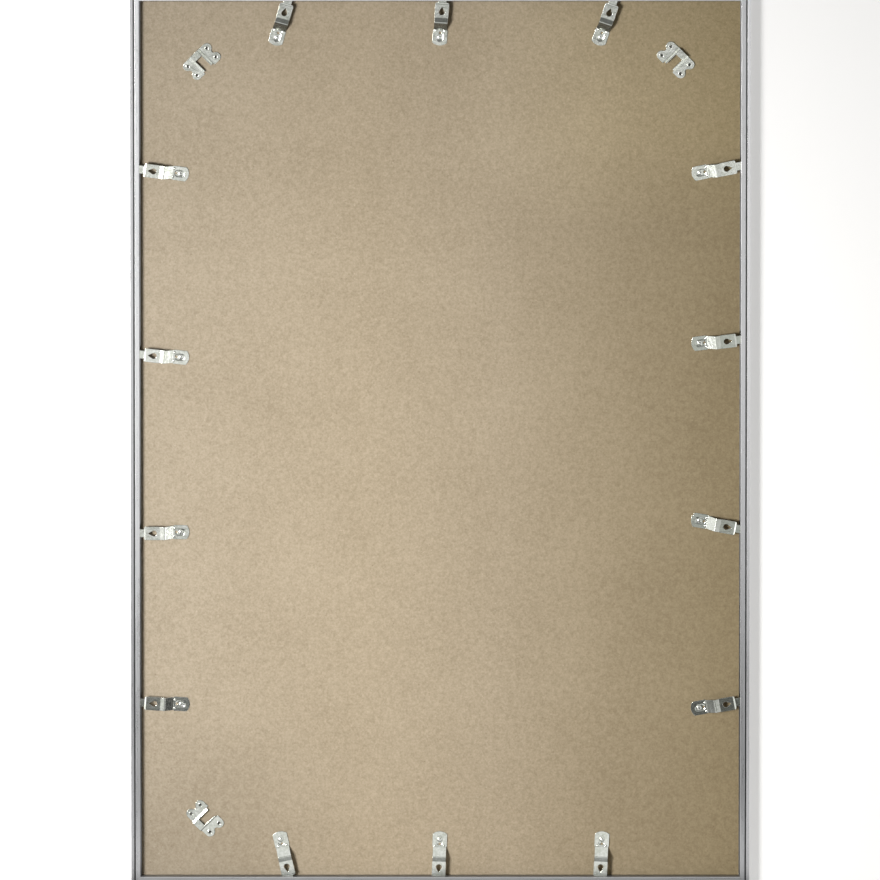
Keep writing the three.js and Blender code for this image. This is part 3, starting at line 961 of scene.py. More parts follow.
@dataclass
class Rivet:
    """Turned rivet through the panel: tail in its recess, shank, and a head made by a subclass."""

    seat: float
    panel: float = 3.0
    shank: float = 1.6
    tail_radius: float = 2.7
    tail_thickness: float = 0.6
    tail_recess: float = 0.15
    tail_hollow: float = 0.9
    tail_dip: float = 0.05
    tail_flat: float = 2.45
    tail_round: float = 0.2
    tail_edge: float = 0.1
    segments: int = 40

    def tail(self) -> list[tuple[float, float]]:
        """Give the tail and the shank, from the axis outwards and up.

        Returns:
            Radius and height of each point.
        """
        low = -self.panel + self.tail_recess
        high = low + self.tail_thickness
        return [
            (0, low + self.tail_dip),
            (self.tail_hollow, low),
            (self.tail_flat, low),
            (self.tail_radius, low + self.tail_round),
            (self.tail_radius, high - self.tail_edge),
            (self.tail_radius - self.tail_edge, high),
            (self.shank, high),
            (self.shank, self.seat),
        ]

    def head(self) -> list[tuple[float, float]]:
        """Give radius and height of the head, from the shank to the axis."""
        raise NotImplementedError

    def make(self, name: str, place: Place, material: Material) -> Piece:
        """Turn the profile about the rivet's axis.

        A point of the profile at radius r and height h goes to (r cos a, h, r sin a).

        Args:
            name: object name.
            place: where the rivet stands on the panel.
            material: finish.

        Returns:
            The rivet's object.
        """
        profile = np.array(self.tail() + self.head())
        angle = np.linspace(0, 2 * math.pi, self.segments, endpoint=False)
        radius, height = profile[:, 0][:, None], profile[:, 1][:, None]
        levels = np.broadcast_to(height, (len(profile), self.segments))
        points = np.stack([radius * np.cos(angle), levels, radius * np.sin(angle)], axis=2)
        number = np.arange(points.shape[0] * self.segments).reshape(points.shape[0], self.segments)
        turned = np.roll(number, -1, axis=1)
        cells = np.stack([number[:-1], number[1:], turned[1:], turned[:-1]], axis=2).reshape(-1, 4)
        return mesh_object(name, place.to_world(points.reshape(-1, 3)), cells, material)


@dataclass
class DomedRivet(Rivet):
    """Solid rivet with a domed head, that a turn clip swings on."""

    radius: float = 2.7
    dome: float = 1.4
    dome_power: float = 0.85
    lip: float = 0.22
    rim_step: float = 0.1
    rim_under: float = 0.15

    def head(self) -> list[tuple[float, float]]:
        """Give a low rolled rim and a dome that flattens a little at its top.

        The dome's radius falls with the cosine of its rise, to the power dome_power.

        Returns:
            Radius and height of each point.
        """
        rise = np.linspace(0, math.pi / 2, 10)
        radius = (self.radius - self.rim_step) * np.cos(rise) ** self.dome_power
        radius[-1] = 0.0
        height = self.seat + self.lip + (self.dome - self.lip) * np.sin(rise)
        rim = [(self.radius - self.rim_under, self.seat), (self.radius, self.seat + self.rim_step)]
        return rim + list(zip(radius.tolist(), height.tolist()))


@dataclass
class EyeletRivet(Rivet):
    """Tubular rivet with a rolled rim round its open bore, that holds a hanger's wing."""

    radius: float = 2.45
    head_height: float = 0.7
    rim_foot: float = 0.15
    bore: float = 1.45
    bore_depth: float = 1.6
    bore_corner: float = 0.15
    bore_hollow: float = 0.5

    def head(self) -> list[tuple[float, float]]:
        """Give a half-round rim from the outside over into the bore, and the bore's floor.

        Returns:
            Radius and height of each point.
        """
        roll = np.linspace(0, math.pi, 11)
        middle, half = (self.radius + self.bore) / 2, (self.radius - self.bore) / 2
        radius = middle + half * np.cos(roll)
        height = self.seat + self.rim_foot + (self.head_height - self.rim_foot) * np.sin(roll)
        floor = self.seat + self.head_height - self.bore_depth
        bore = [
            (self.bore, floor + self.bore_corner),
            (self.bore - self.bore_corner, floor),
            (self.bore_hollow, floor - 0.02),
            (0, floor - 0.03),
        ]
        return [(self.radius, self.seat)] + list(zip(radius.tolist(), height.tolist())) + bore


# Finishes


class NodeSketch:
    """Short hand for adding and joining the nodes of one tree."""

    def __init__(self, tree: Tree) -> None:
        """Keep the tree."""
        self.tree = tree

    def add(self, kind: str, feeds: dict[str | int, Fed] | None = None, **settings: object) -> Node:
        """Add a node, set its properties, and feed its sockets.

        Args:
            kind: node type.
            feeds: socket name or number to a value or another node's output.
            settings: node properties.

        Returns:
            The new node.
        """
        node = self.tree.nodes.new(kind)
        for name, value in settings.items():
            setattr(node, name, value)
        for name, value in (feeds or {}).items():
            self.feed(node.inputs[name], value)
        return node

    def feed(self, socket: Socket, value: Fed) -> None:
        """Join an output to a socket, or set the socket's own value.

        Args:
            socket: the socket that takes it.
            value: another node's output, or a number or a colour.
        """
        if isinstance(value, Socket):
            self.tree.links.new(value, socket)
        else:
            socket.default_value = value

    def math(self, operation: str, first: Fed, second: Fed = 0.0, clamp: bool = False) -> Socket:
        """Give the result of a Math node."""
        node = self.add("ShaderNodeMath", {0: first, 1: second}, operation=operation, use_clamp=clamp)
        return node.outputs[0]

    def times(self, *factors: Fed) -> Socket:
        """Give the product of two values or more."""
        return functools.reduce(lambda first, second: self.math("MULTIPLY", first, second), factors)

    def plus(self, *terms: Fed) -> Socket:
        """Give the sum of two values or more."""
        return functools.reduce(lambda first, second: self.math("ADD", first, second), terms)

    def vector(self, operation: str, first: Fed, second: Fed) -> Socket:
        """Give the result of a Vector Math node."""
        return self.add("ShaderNodeVectorMath", {0: first, 1: second}, operation=operation).outputs[0]

    def axes(self, vector: Fed) -> tuple[Socket, ...]:
        """Give the x, y and z of a vector."""
        return tuple(self.add("ShaderNodeSeparateXYZ", {0: vector}).outputs)

    def noise(self, vector: Fed, scale: Fed, detail: float = 2.0, roughness: float = 0.5) -> Socket:
        """Give the value of a Noise Texture."""
        feeds = {"Vector": vector, "Scale": scale, "Detail": detail, "Roughness": roughness}
        return self.add("ShaderNodeTexNoise", feeds).outputs["Fac"]

    def blend(self, share: Fed, first: Fed, second: Fed, mode: str = "MIX") -> Socket:
        """Give a mix of two colours, whose sockets on the Mix node are 6, 7 and output 2.

        Args:
            share: 0 for the first colour alone.
            first: colour at 0.
            second: colour at 1.
            mode: MIX, or MULTIPLY for the product of the two at 1.

        Returns:
            The mixed colour.
        """
        feeds = {"Factor": share, 6: first, 7: second}
        return self.add("ShaderNodeMix", feeds, data_type="RGBA", blend_type=mode).outputs[2]

    def ramp(self, value: Fed, low: float, high: float, start: float = 0.0, end: float = 1.0) -> Socket:
        """Carry a value from the range low to high over to the range start to end, clamped."""
        feeds = {"Value": value, "From Min": low, "From Max": high, "To Min": start, "To Max": end}
        return self.add("ShaderNodeMapRange", feeds).outputs[0]

    def band(self, value: Fed, rise: tuple[float, float], fall: tuple[float, float]) -> Socket:
        """Give 1 from where a value has risen through one range until it enters another, else 0."""
        return self.times(self.ramp(value, *rise), self.ramp(value, *fall, 1.0, 0.0))

    def show(self, share: Fed, first: Node, second: Node, end: str = "Material Output") -> None:
        """Join a mix of two shaders to the tree's end.

        Args:
            share: 0 for the first shader alone.
            first: shader at 0.
            second: shader at 1.
            end: name of the output node.
        """
        feeds = {0: share, 1: first.outputs[0], 2: second.outputs[0]}
        mixed = self.add("ShaderNodeMixShader", feeds)
        self.feed(self.tree.nodes[end].inputs["Surface"], mixed.outputs[0])


def new_group(name: str, inputs: dict[str, str], output: str) -> tuple[NodeSketch, Node, Node]:
    """Make an empty node group with named sockets.

    Args:
        name: group name.
        inputs: socket name to kind, Float or Vector.
        output: name of the one value that it gives.

    Returns:
        A sketch of its tree, its input node and its output node.
    """
    tree = bpy.data.node_groups.new(name, "ShaderNodeTree")
    for socket, kind in inputs.items():
        tree.interface.new_socket(socket, in_out="INPUT", socket_type=f"NodeSocket{kind}")
    tree.interface.new_socket(output, in_out="OUTPUT", socket_type="NodeSocketFloat")
    sketch = NodeSketch(tree)
    return sketch, sketch.add("NodeGroupInput"), sketch.add("NodeGroupOutput")


def drawn_lines_group() -> Tree:
    """Make the fine lines that drawing or brushing leaves: noise squeezed across one direction.

    Returns:
        The group's tree.
    """
    inputs = {"Vector": "Vector", "Stretch": "Vector"}
    sketch, given, result = new_group("drawn_lines", inputs, "Lines")
    stretched = sketch.vector("MULTIPLY", given.outputs["Vector"], given.outputs["Stretch"])
    coarse = sketch.noise(stretched, 18.0, 2.0)
    fine = sketch.noise(stretched, 70.0, 3.0, 0.6)
    sketch.feed(result.inputs["Lines"], sketch.plus(sketch.times(coarse, 0.45), sketch.times(fine, 0.55)))
    return sketch.tree


def blotches_group() -> Tree:
    """Make soft uneven patches at one scale, as a value about 0 that reaches about -1 and 1.

    Returns:
        The group's tree.
    """
    sketch, given, result = new_group("blotches", {"Vector": "Vector", "Scale": "Float"}, "Patch")
    cloud = sketch.noise(given.outputs["Vector"], given.outputs["Scale"], 4.0, 0.55)
    sketch.feed(result.inputs["Patch"], sketch.ramp(cloud, 0.28, 0.72, -1.0, 1.0))
    return sketch.tree


def specks_group() -> Tree:
    """Make scattered small specks: a mask that is 1 in some cells' middles and 0 elsewhere.

    Returns:
        The group's tree.
    """
    inputs = {"Vector": "Vector", "Scale": "Float", "Share": "Float", "Size": "Float"}
    sketch, given, result = new_group("specks", inputs, "Mask")
    feeds = {name: given.outputs[name] for name in ("Vector", "Scale")}
    cell = sketch.add("ShaderNodeTexVoronoi", feeds)
    lot = sketch.add("ShaderNodeSeparateColor", {0: cell.outputs["Color"]}).outputs[0]
    chosen = sketch.math("LESS_THAN", lot, given.outputs["Share"])
    away = sketch.math("DIVIDE", cell.outputs["Distance"], given.outputs["Size"])
    near = sketch.math("SUBTRACT", 1.0, away, clamp=True)
    sketch.feed(result.inputs["Mask"], sketch.times(chosen, near))
    return sketch.tree


@dataclass(frozen=True)
class Groups:
    """Node groups that several finishes share."""

    drawn_lines: Tree
    blotches: Tree
    specks: Tree

    @classmethod
    def make(cls) -> "Groups":
        """Build each group once."""
        return cls(drawn_lines_group(), blotches_group(), specks_group())


class FinishSketch(NodeSketch):
    """A new material with its Principled node, Object coordinates and the shared groups."""

    def __init__(self, name: str, groups: Groups) -> None:
        """Start the material.

        Args:
            name: material name.
            groups: shared node groups.
        """
        self.material = bpy.data.materials.new(name)
        self.material.use_nodes = True
        super().__init__(self.material.node_tree)
        self.groups = groups
        self.shader = self.tree.nodes["Principled BSDF"]
        self.place = self.add("ShaderNodeTexCoord").outputs["Object"]

    def group(self, tree: Tree, **feeds: Fed) -> Socket:
        """Place a shared group, fed with Object coordinates.

        Args:
            tree: the group.
            feeds: its other sockets' values, by name without its capital.

        Returns:
            The group's output.
        """
        node = self.add("ShaderNodeGroup", node_tree=tree)
        self.feed(node.inputs["Vector"], self.place)
        for name, value in feeds.items():
            self.feed(node.inputs[name.capitalize()], value)
        return node.outputs[0]

    def patches(self, scale: float) -> Socket:
        """Give soft patches of one scale, from about -1 to 1."""
        return self.group(self.groups.blotches, scale=scale)

    def shade(self, **sockets: Fed) -> None:
        """Feed the Principled node, with _ in a name for each space."""
        for name, value in sockets.items():
            self.feed(self.shader.inputs[name.replace("_", " ")], value)

    def bump(self, height: Fed, depth: float, strength: float = 0.5) -> None:
        """Give the surface relief of one depth in metres."""
        node = self.add("ShaderNodeBump", {"Height": height, "Strength": strength, "Distance": depth})
        self.shade(Normal=node.outputs[0])


def grey(value: float) -> Colour:
    """Give a neutral colour."""
    return (value, value, value, 1.0)


def darker(colour: Colour, share: float) -> Colour:
    """Give a colour times a share of its light."""
    return (colour[0] * share, colour[1] * share, colour[2] * share, 1.0)


@dataclass(frozen=True)
class Aluminium:
    """Natural anodised rail with the die's fine lines along it, and painted shade in its rear groove
    and under its rear lip.

    groove holds the near and the far edge of the rear groove, in metres from the frame's middle.
    wall is how far beyond the groove the outer wall begins. Depths are in metres, below the
    rail's back.
    """

    grain: Grain
    groove: tuple[float, float]
    colour: Colour = (0.80, 0.805, 0.815, 1.0)
    # Painted shade in the rear groove
    groove_shade: Colour = grey(0.1)
    # Painted shade below the rear lip
    inside: Colour = grey(0.36)
    roughness: float = 0.28
    groove_soft: float = 0.00012
    wall: float = 0.0015
    wall_soft: float = 0.0001
    groove_top: tuple[float, float] = (0.0001, 0.0004)
    groove_end: tuple[float, float] = (0.0030, 0.0035)
    lip_under: tuple[float, float] = (0.0011, 0.0015)
    flange_top: tuple[float, float] = (0.0134, 0.0137)

    def across(self, sketch: FinishSketch) -> Socket:
        """Give the distance to the frame's middle, square to the rail."""
        x, _, z = sketch.axes(sketch.place)
        return sketch.math("ABSOLUTE", z if self.grain is Grain.ALONG_X else x)

    def depth(self, sketch: FinishSketch) -> Socket:
        """Give the depth below the rail's back."""
        return sketch.math("SUBTRACT", RAIL_BACK, sketch.axes(sketch.place)[1])

    def groove_mask(self, sketch: FinishSketch) -> Socket:
        """Give 1 in the rear groove, where shade is painted in.

        Args:
            sketch: the finish.

        Returns:
            The mask: within the groove's edges, times within its depth.
        """
        near, far = ((edge - self.groove_soft, edge + self.groove_soft) for edge in self.groove)
        beside = sketch.band(self.across(sketch), near, far)
        return sketch.times(beside, sketch.band(self.depth(sketch), self.groove_top, self.groove_end))

    def under_lip_shade_mask(self, sketch: FinishSketch) -> Socket:
        """Give 1 below the rear lip and within the outer wall, where shade is painted on the section.

        Args:
            sketch: the finish.

        Returns:
            The mask: within the outer wall, times between lip and flange.
        """
        wall = self.groove[1] + self.wall
        within = sketch.ramp(self.across(sketch), wall - self.wall_soft, wall + self.wall_soft, 1.0, 0.0)
        return sketch.times(within, sketch.band(self.depth(sketch), self.lip_under, self.flange_top))

    def material(self, groups: Groups) -> Material:
        """Make the finish.

        Args:
            groups: shared node groups.

        Returns:
            The material.
        """
        sketch = FinishSketch(f"rail_aluminium_{self.grain.name.lower()}", groups)
        lines = sketch.group(groups.drawn_lines, stretch=self.grain.value)
        tone = sketch.ramp(sketch.plus(lines, sketch.times(sketch.patches(9.0), 0.12)), 0.25, 0.75)
        drawn = sketch.blend(tone, darker(self.colour, 0.94), self.colour)
        # Below the rear lip the section is painted darker as shade
        drawn = sketch.blend(self.under_lip_shade_mask(sketch), drawn, self.inside)
        # The rear groove is painted near-black as shade
        sketch.shade(Metallic=1.0, Base_Color=sketch.blend(self.groove_mask(sketch), drawn, self.groove_shade))
        sketch.shade(Roughness=sketch.ramp(lines, 0.2, 0.8, self.roughness - 0.05, self.roughness + 0.07))
        sketch.bump(lines, 0.00002)
        return sketch.material


@dataclass(frozen=True)
class Zinc:
    """Bright zinc plating with faint blotches and rub marks, warm to greenish.

    Flat faces get painted shade towards -X and lower down: the ranges across, upwards and by
    flatness each run from where the painted shade starts to where it is full. bore_level is the
    height in metres below which the bore is painted dark as shade.
    """

    name: str = "zinc_steel"
    bright: Colour = (0.88, 0.90, 0.84, 1.0)
    dull: Colour = (0.68, 0.705, 0.62, 1.0)
    # Painted shade on flat faces
    flat_face_shade: Colour = (0.40, 0.425, 0.37, 1.0)
    # Painted shade in a rivet's bore
    bore_shade: Colour = (0.10, 0.10, 0.09, 1.0)
    roughness: float = 0.13
    # Where and how strongly flat faces get painted shade
    shade_x: tuple[float, float] = (-0.17, -0.24)
    shade_z: tuple[float, float] = (0.22, 0.12)
    old_flat: tuple[float, float] = (0.991, 0.997)
    shade_strength: float = 0.8
    bore_level: float = -1.0

    def flat_face_shade_share(self, sketch: FinishSketch) -> Socket:
        """Give how much painted shade the plating gets at each place.

        Args:
            sketch: the finish.

        Returns:
            The product of the shares across, upwards and by how flat the face lies.
        """
        x, _, z = sketch.axes(sketch.place)
        _, flat, _ = sketch.axes(sketch.add("ShaderNodeNewGeometry").outputs["Normal"])
        ranges = ((x, self.shade_x), (z, self.shade_z), (flat, self.old_flat))
        return sketch.times(*(sketch.ramp(value, *span) for value, span in ranges), self.shade_strength)

    def material(self, groups: Groups) -> Material:
        """Make the finish.

        Args:
            groups: shared node groups.

        Returns:
            The material.
        """
        sketch = FinishSketch(self.name, groups)
        patch = sketch.patches(420.0)
        fine = sketch.noise(sketch.place, 2600.0, 2.0, 0.6)
        wear = sketch.ramp(sketch.plus(patch, sketch.patches(90.0)), -1.1, 1.1)
        plated = sketch.blend(wear, self.bright, self.dull)
        # Flat faces are painted darker towards -X and lower down, as shade
        plated = sketch.blend(self.flat_face_shade_share(sketch), plated, self.flat_face_shade)
        # Below bore_level the bore's floor is painted dark as shade
        height, soft = sketch.axes(sketch.place)[1], 0.0002
        bore = sketch.ramp(height, self.bore_level - soft, self.bore_level + soft, 1.0, 0.0)
        sketch.shade(Metallic=1.0, Base_Color=sketch.blend(bore, plated, self.bore_shade))
        rough = sketch.ramp(patch, -1.0, 1.0, self.roughness - 0.03, self.roughness + 0.06)
        sketch.shade(Roughness=sketch.plus(rough, sketch.times(fine, 0.05)))
        dents = sketch.times(sketch.patches(75.0), 5.0)
        sketch.bump(sketch.plus(fine, patch, dents), 0.00002)
        return sketch.material


@dataclass(frozen=True)
class KeySteel:
    """Dull die-cast corner key."""

    colour: Colour = (0.36, 0.37, 0.37, 1.0)
    rubbed: Colour = grey(0.48)

    def material(self, groups: Groups) -> Material:
        """Make the finish.

        Args:
            groups: shared node groups.

        Returns:
            The material.
        """
        sketch = FinishSketch("key_steel", groups)
        patch = sketch.patches(300.0)
        colour = sketch.blend(sketch.ramp(patch, -1.0, 1.0), self.colour, self.rubbed)
        sketch.shade(Metallic=0.9, Base_Color=colour)
        sketch.shade(Roughness=sketch.ramp(patch, -1.0, 1.0, 0.42, 0.56))
        sketch.bump(patch, 0.00004)
        return sketch.material


@dataclass(frozen=True)
class Hardboard:
    """Raw side of a hardboard panel: pressed wood fibre with clouds, mottle and stray specks."""

    pale: Colour = (0.600, 0.500, 0.362, 1.0)
    brown: Colour = (0.425, 0.343, 0.232, 1.0)
    dark_speck: Colour = (0.22, 0.15, 0.085, 1.0)
    pale_speck: Colour = (0.78, 0.70, 0.53, 1.0)
    # Painted shade towards -X, warm, and towards +X, cool
    warm: Colour = (0.77, 0.735, 0.59, 1.0)
    cool: Colour = (0.88, 0.90, 0.95, 1.0)
    # Painted shade in the lower +X corner
    dim: Colour = (0.85, 0.85, 0.85, 1.0)
    # Painted light in the upper -X corner, brighter than the board's own colour
    faded: Colour = (1.22, 1.23, 1.20, 1.0)
    # Painted dark reflection: the board's colour as metal mirrors it
    in_mirrors: Colour = (0.03, 0.025, 0.02, 1.0)
    cloud_share: float = 0.16
    mottle_share: float = 0.24
    grain_share: float = 0.4
    speck_strength: float = 0.5

    def fibre(self, sketch: FinishSketch) -> Socket:
        """Give fine fibres: close noise over places that a coarser noise has shifted a little.

        Args:
            sketch: the finish.

        Returns:
            The noise's value.
        """
        drift = sketch.add("ShaderNodeTexNoise", {"Vector": sketch.place, "Scale": 240.0, "Detail": 1.0})
        swirl = sketch.vector("MULTIPLY", drift.outputs["Color"], (0.002, 0.002, 0.002))
        return sketch.noise(sketch.vector("ADD", sketch.place, swirl), 1500.0, 3.0, 0.7)

    def specked(self, sketch: FinishSketch, colour: Socket) -> Socket:
        """Scatter dark specks over a colour, and pale ones over those.

        Args:
            sketch: the finish.
            colour: colour before the specks.

        Returns:
            The specked colour.
        """
        specks = sketch.groups.specks
        dark = sketch.group(specks, scale=190.0, share=0.16, size=0.2)
        pale = sketch.group(specks, scale=230.0, share=0.16, size=0.22)
        for mask, speck in ((dark, self.dark_speck), (pale, self.pale_speck)):
            colour = sketch.blend(sketch.times(mask, self.speck_strength), colour, speck)
        return colour

    def paint_light_and_shade(self, sketch: FinishSketch, colour: Socket) -> Socket:
        """Paint shade towards both sides and in one corner and light in another, and paint the colour
        dark in mirrors.

        It isn't darkened in mirrors close to the bottom edge.

        Args:
            sketch: the finish.
            colour: colour before the tints.

        Returns:
            The tinted colour.
        """
        x, _, z = sketch.axes(sketch.place)
        tints = (
            # Painted shade towards both sides of the panel
            (sketch.ramp(x, -0.06, -0.32), self.warm),
            (sketch.ramp(x, 0.08, 0.33), self.cool),
            # Painted shade in the lower +X corner, painted light in the upper -X corner
            (sketch.times(sketch.ramp(x, 0.06, 0.22), sketch.ramp(z, -0.27, -0.42)), self.dim),
            (sketch.times(sketch.ramp(x, 0.0, -0.16), sketch.ramp(z, 0.22, 0.32)), self.faded),
        )
        for share, tint in tints:
            colour = sketch.blend(share, colour, tint, "MULTIPLY")
        # Painted dark reflection wherever metal mirrors the board, except near the bottom edge
        in_metal = sketch.add("ShaderNodeLightPath").outputs["Is Glossy Ray"]
        hidden = sketch.times(in_metal, sketch.ramp(z, -0.448, -0.436, 0.0, 0.85))
        return sketch.blend(hidden, colour, self.in_mirrors)

    def material(self, groups: Groups) -> Material:
        """Make the finish.

        Args:
            groups: shared node groups.

        Returns:
            The material.
        """
        sketch = FinishSketch("hardboard", groups)
        grain = sketch.patches(520.0)
        fibre = self.fibre(sketch)
        cloud = sketch.times(sketch.patches(9.0), self.cloud_share)
        mottle = sketch.times(sketch.patches(170.0), self.mottle_share)
        close = sketch.ramp(fibre, 0.3, 0.7, -0.3, 0.3)
        tone = sketch.plus(cloud, mottle, sketch.times(grain, self.grain_share), 0.5, close)
        colour = sketch.blend(sketch.ramp(tone, 0.0, 1.0), self.pale, self.brown)
        colour = self.paint_light_and_shade(sketch, self.specked(sketch, colour))
        sketch.shade(Base_Color=colour, Metallic=0.0, Roughness=sketch.ramp(fibre, 0.3, 0.7, 0.78, 0.95))
        sketch.bump(sketch.plus(fibre, sketch.times(grain, 0.3)), 0.00012)
        return sketch.material


@dataclass(frozen=True)
class Paper:
    """Plain insert sheet with faint fibre."""

    colour: Colour = (0.86, 0.85, 0.82, 1.0)

    def material(self, groups: Groups) -> Material:
        """Make the finish.

        Args:
            groups: shared node groups.

        Returns:
            The material.
        """
        sketch = FinishSketch("insert_paper", groups)
        fine = sketch.noise(sketch.place, 900.0, 3.0, 0.6)
        tone = sketch.ramp(sketch.plus(sketch.times(sketch.patches(26.0), 0.2), fine), 0.2, 0.8)
        sketch.shade(Base_Color=sketch.blend(tone, darker(self.colour, 0.95), self.colour))
        sketch.shade(Metallic=0.0, Roughness=0.8)
        sketch.bump(fine, 0.00003, 0.4)
        return sketch.material


@dataclass(frozen=True)
class Acrylic:
    """Clear sheet that lets lamps through to the insert behind it."""

    colour: Colour = (0.985, 0.99, 0.99, 1.0)
    shadow: Colour = grey(0.95)
    index: float = 1.49

    def material(self, groups: Groups) -> Material:
        """Make the finish.

        Args:
            groups: shared node groups.

        Returns:
            The material.
        """
        sketch = FinishSketch("clear_acrylic", groups)
        sketch.shade(Base_Color=self.colour, Metallic=0.0, Transmission_Weight=1.0, IOR=self.index)
        sketch.shade(Roughness=sketch.ramp(sketch.patches(7.0), -1.0, 1.0, 0.02, 0.05))
        clear = sketch.add("ShaderNodeBsdfTransparent", {"Color": self.shadow})
        by_ray = sketch.add("ShaderNodeLightPath")
        sketch.show(by_ray.outputs["Is Shadow Ray"], sketch.shader, clear)
        return sketch.material


# The frame's own pieces


def body_name(node: str) -> str:
    """Give the body that a clip rides on, and the frame for everything else."""
    return f"clip_{node.removeprefix('turn_clip_')}" if node.startswith("turn_clip_") else "frame"


def middle_xz(node: str) -> np.ndarray:
    """Give x and z of the middle of a node's box."""
    low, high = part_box(node)
    return np.array([(low.x + high.x) / 2, (low.z + high.z) / 2])


def area_middle_xz(node: str) -> np.ndarray:
    """Give x and z of the middle of a node's surface.

    It is the sum of the faces' middles, each times its area, over the sum of the areas.

    Args:
        node: the solid.

    Returns:
        Shape (2,), in metres.
    """
    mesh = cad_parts[node].data
    centres = np.empty(len(mesh.polygons) * 3)
    areas = np.empty(len(mesh.polygons))
    mesh.polygons.foreach_get("center", centres)
    mesh.polygons.foreach_get("area", areas)
    return (centres.reshape(-1, 3) * areas[:, None]).sum(0)[[0, 2]] / areas.sum()


def way(vector: np.ndarray) -> tuple[float, float]:
    """Give a vector in the panel's plane at unit length."""
    unit = vector / np.hypot(*vector)
    return float(unit[0]), float(unit[1])


@dataclass
class RailSet:
    """The four mitred rails."""

    rail: Rail = field(default_factory=Rail)

    def build(self, groups: Groups) -> None:
        """Make each rail over its solid, with the die's lines along it.

        Args:
            groups: shared node groups.
        """
        sides = (
            (Grain.ALONG_X, ("top", "bottom"), SOLID_BOX[1].z),
            (Grain.ALONG_Z, ("left", "right"), SOLID_BOX[1].x),
        )
        for grain, names, outer in sides:
            near = outer - (self.rail.groove_from + self.rail.groove_width) * MM
            material = Aluminium(grain, (near, outer - self.rail.groove_from * MM)).material(groups)
            for name in names:
                made = self.rail.make(f"rail_{name}", material)
                finish_piece(made, "frame", f"rail_{name}")


@dataclass
class ClipSet:
    """The fourteen turn clips and the rivets that they swing on."""

    clip: TurnClip = field(default_factory=TurnClip)
    rivet: DomedRivet = field(default_factory=lambda: DomedRivet(seat=0.8))

    def build(self, zinc: Material, rivet_zinc: Material) -> None:
        """Make each clip over its solid, turned as the solid is about its own pivot.

        Args:
            zinc: the clips' finish.
            rivet_zinc: the rivets' finish.
        """
        for node in sorted(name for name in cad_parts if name.startswith("turn_clip_")):
            name = node.removeprefix("turn_clip_")
            pivot = middle_xz(f"clip_rivet_{name}")
            place = Place((float(pivot[0]), float(pivot[1])), way(area_middle_xz(node) - pivot))
            clip = self.clip.make(f"clip_{name}_pressing", place, zinc)
            finish_piece(clip, body_name(node), node)
            rivet = self.rivet.make(f"clip_{name}_rivet", place, rivet_zinc)
            finish_piece(rivet, "frame", f"clip_rivet_{name}")


@dataclass
class HangerSet:
    """The three raised hangers and the eyelet rivets through their wings."""

    hanger: Hanger = field(default_factory=Hanger)
    rivet: EyeletRivet = field(default_factory=lambda: EyeletRivet(seat=1.2))

    def build(self, zinc: Material, rivet_zinc: Material) -> None:
        """Make each hanger over its solid, with its way taken from its four rivets.

        Args:
            zinc: the hangers' finish.
            rivet_zinc: the eyelets' finish.
        """
        nodes = [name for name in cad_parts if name.startswith("hanger_") and "rivet" not in name]
        for node in sorted(nodes):
            name = node.removeprefix("hanger_")
            rivets = [middle_xz(f"hanger_rivet_{name}_{index}") for index in range(1, 5)]
            centre = sum(rivets) / 4
            along = way(rivets[2] + rivets[3] - rivets[0] - rivets[1])
            place = Place((float(centre[0]), float(centre[1])), along)
            hanger = self.hanger.make(f"hanger_{name}_pressing", place, zinc)
            finish_piece(hanger, "frame", node)
            for index, at in enumerate(rivets, start=1):
                spot = Place((float(at[0]), float(at[1])), place.length_way)
                rivet = self.rivet.make(f"hanger_{name}_eyelet_{index}", spot, rivet_zinc)
                finish_piece(rivet, "frame", f"hanger_rivet_{name}_{index}")


def finish_piece(piece: Piece, body: str, node: str) -> None:
    """Put a made piece on its body, and hide the solid that it stands for.

    Args:
        piece: the made piece.
        body: the body that it rides on.
        node: the solid.
    """
    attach(piece, body)
    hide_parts(node)
    log.info("made %s: %d faces, rides on %s", piece.name, len(piece.data.polygons), body)


def dress(nodes: Iterable[str], material: Material) -> None:
    """Put one finish on carried-over solids.

    Args:
        nodes: the solids' names.
        material: finish.
    """
    for node in nodes:
        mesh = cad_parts[node].data
        mesh.materials.clear()
        mesh.materials.append(material)
        log.info("dressed %s with %s", node, material.name)


# The studio


@dataclass(frozen=True)
class SoftLamp:
    """Square soft lamp whose grid lets light out in a narrow angle.

    Places and the side of its face are in metres, and the angle is in degrees.
    """

    name: str
    at: Point
    to: Point
    size: float
    watts: float
    colour: Point = (1.0, 1.0, 1.0)
    spread: float = 50.0

    def hang(self) -> None:
        """Put the lamp in its place."""
        data = bpy.data.lights.new(self.name, "AREA")
        data.shape, data.size = "SQUARE", self.size
        data.energy, data.color, data.spread = self.watts, self.colour, math.radians(self.spread)
        lamp = bpy.data.objects.new(self.name, data)
        lamp.location = self.at
        lamp.rotation_euler = (Vector(self.to) - Vector(self.at)).to_track_quat("-Z", "Y").to_euler()
        bpy.context.scene.collection.objects.link(lamp)


class FloorTone(Enum):
    """Stops of the floor as metal mirrors it: metres behind the frame, and strength there."""

    FOOT = (0.04, 0.19)
    NEAR_FROM = (0.072, 0.56)
    NEAR_TO = (0.22, 0.56)
    DARK_FROM = (0.30, 0.06)
    DARK_TO = (0.72, 0.06)
    DIM_FROM = (0.88, 0.24)
    DIM_TO = (1.16, 0.32)
    PALE_FROM = (1.80, 0.93)
    PALE_TO = (3.32, 0.95)
    FAR_FROM = (3.78, 0.90)
    FAR_TO = (3.86, 0.45)
    END = (4.00, 0.20)


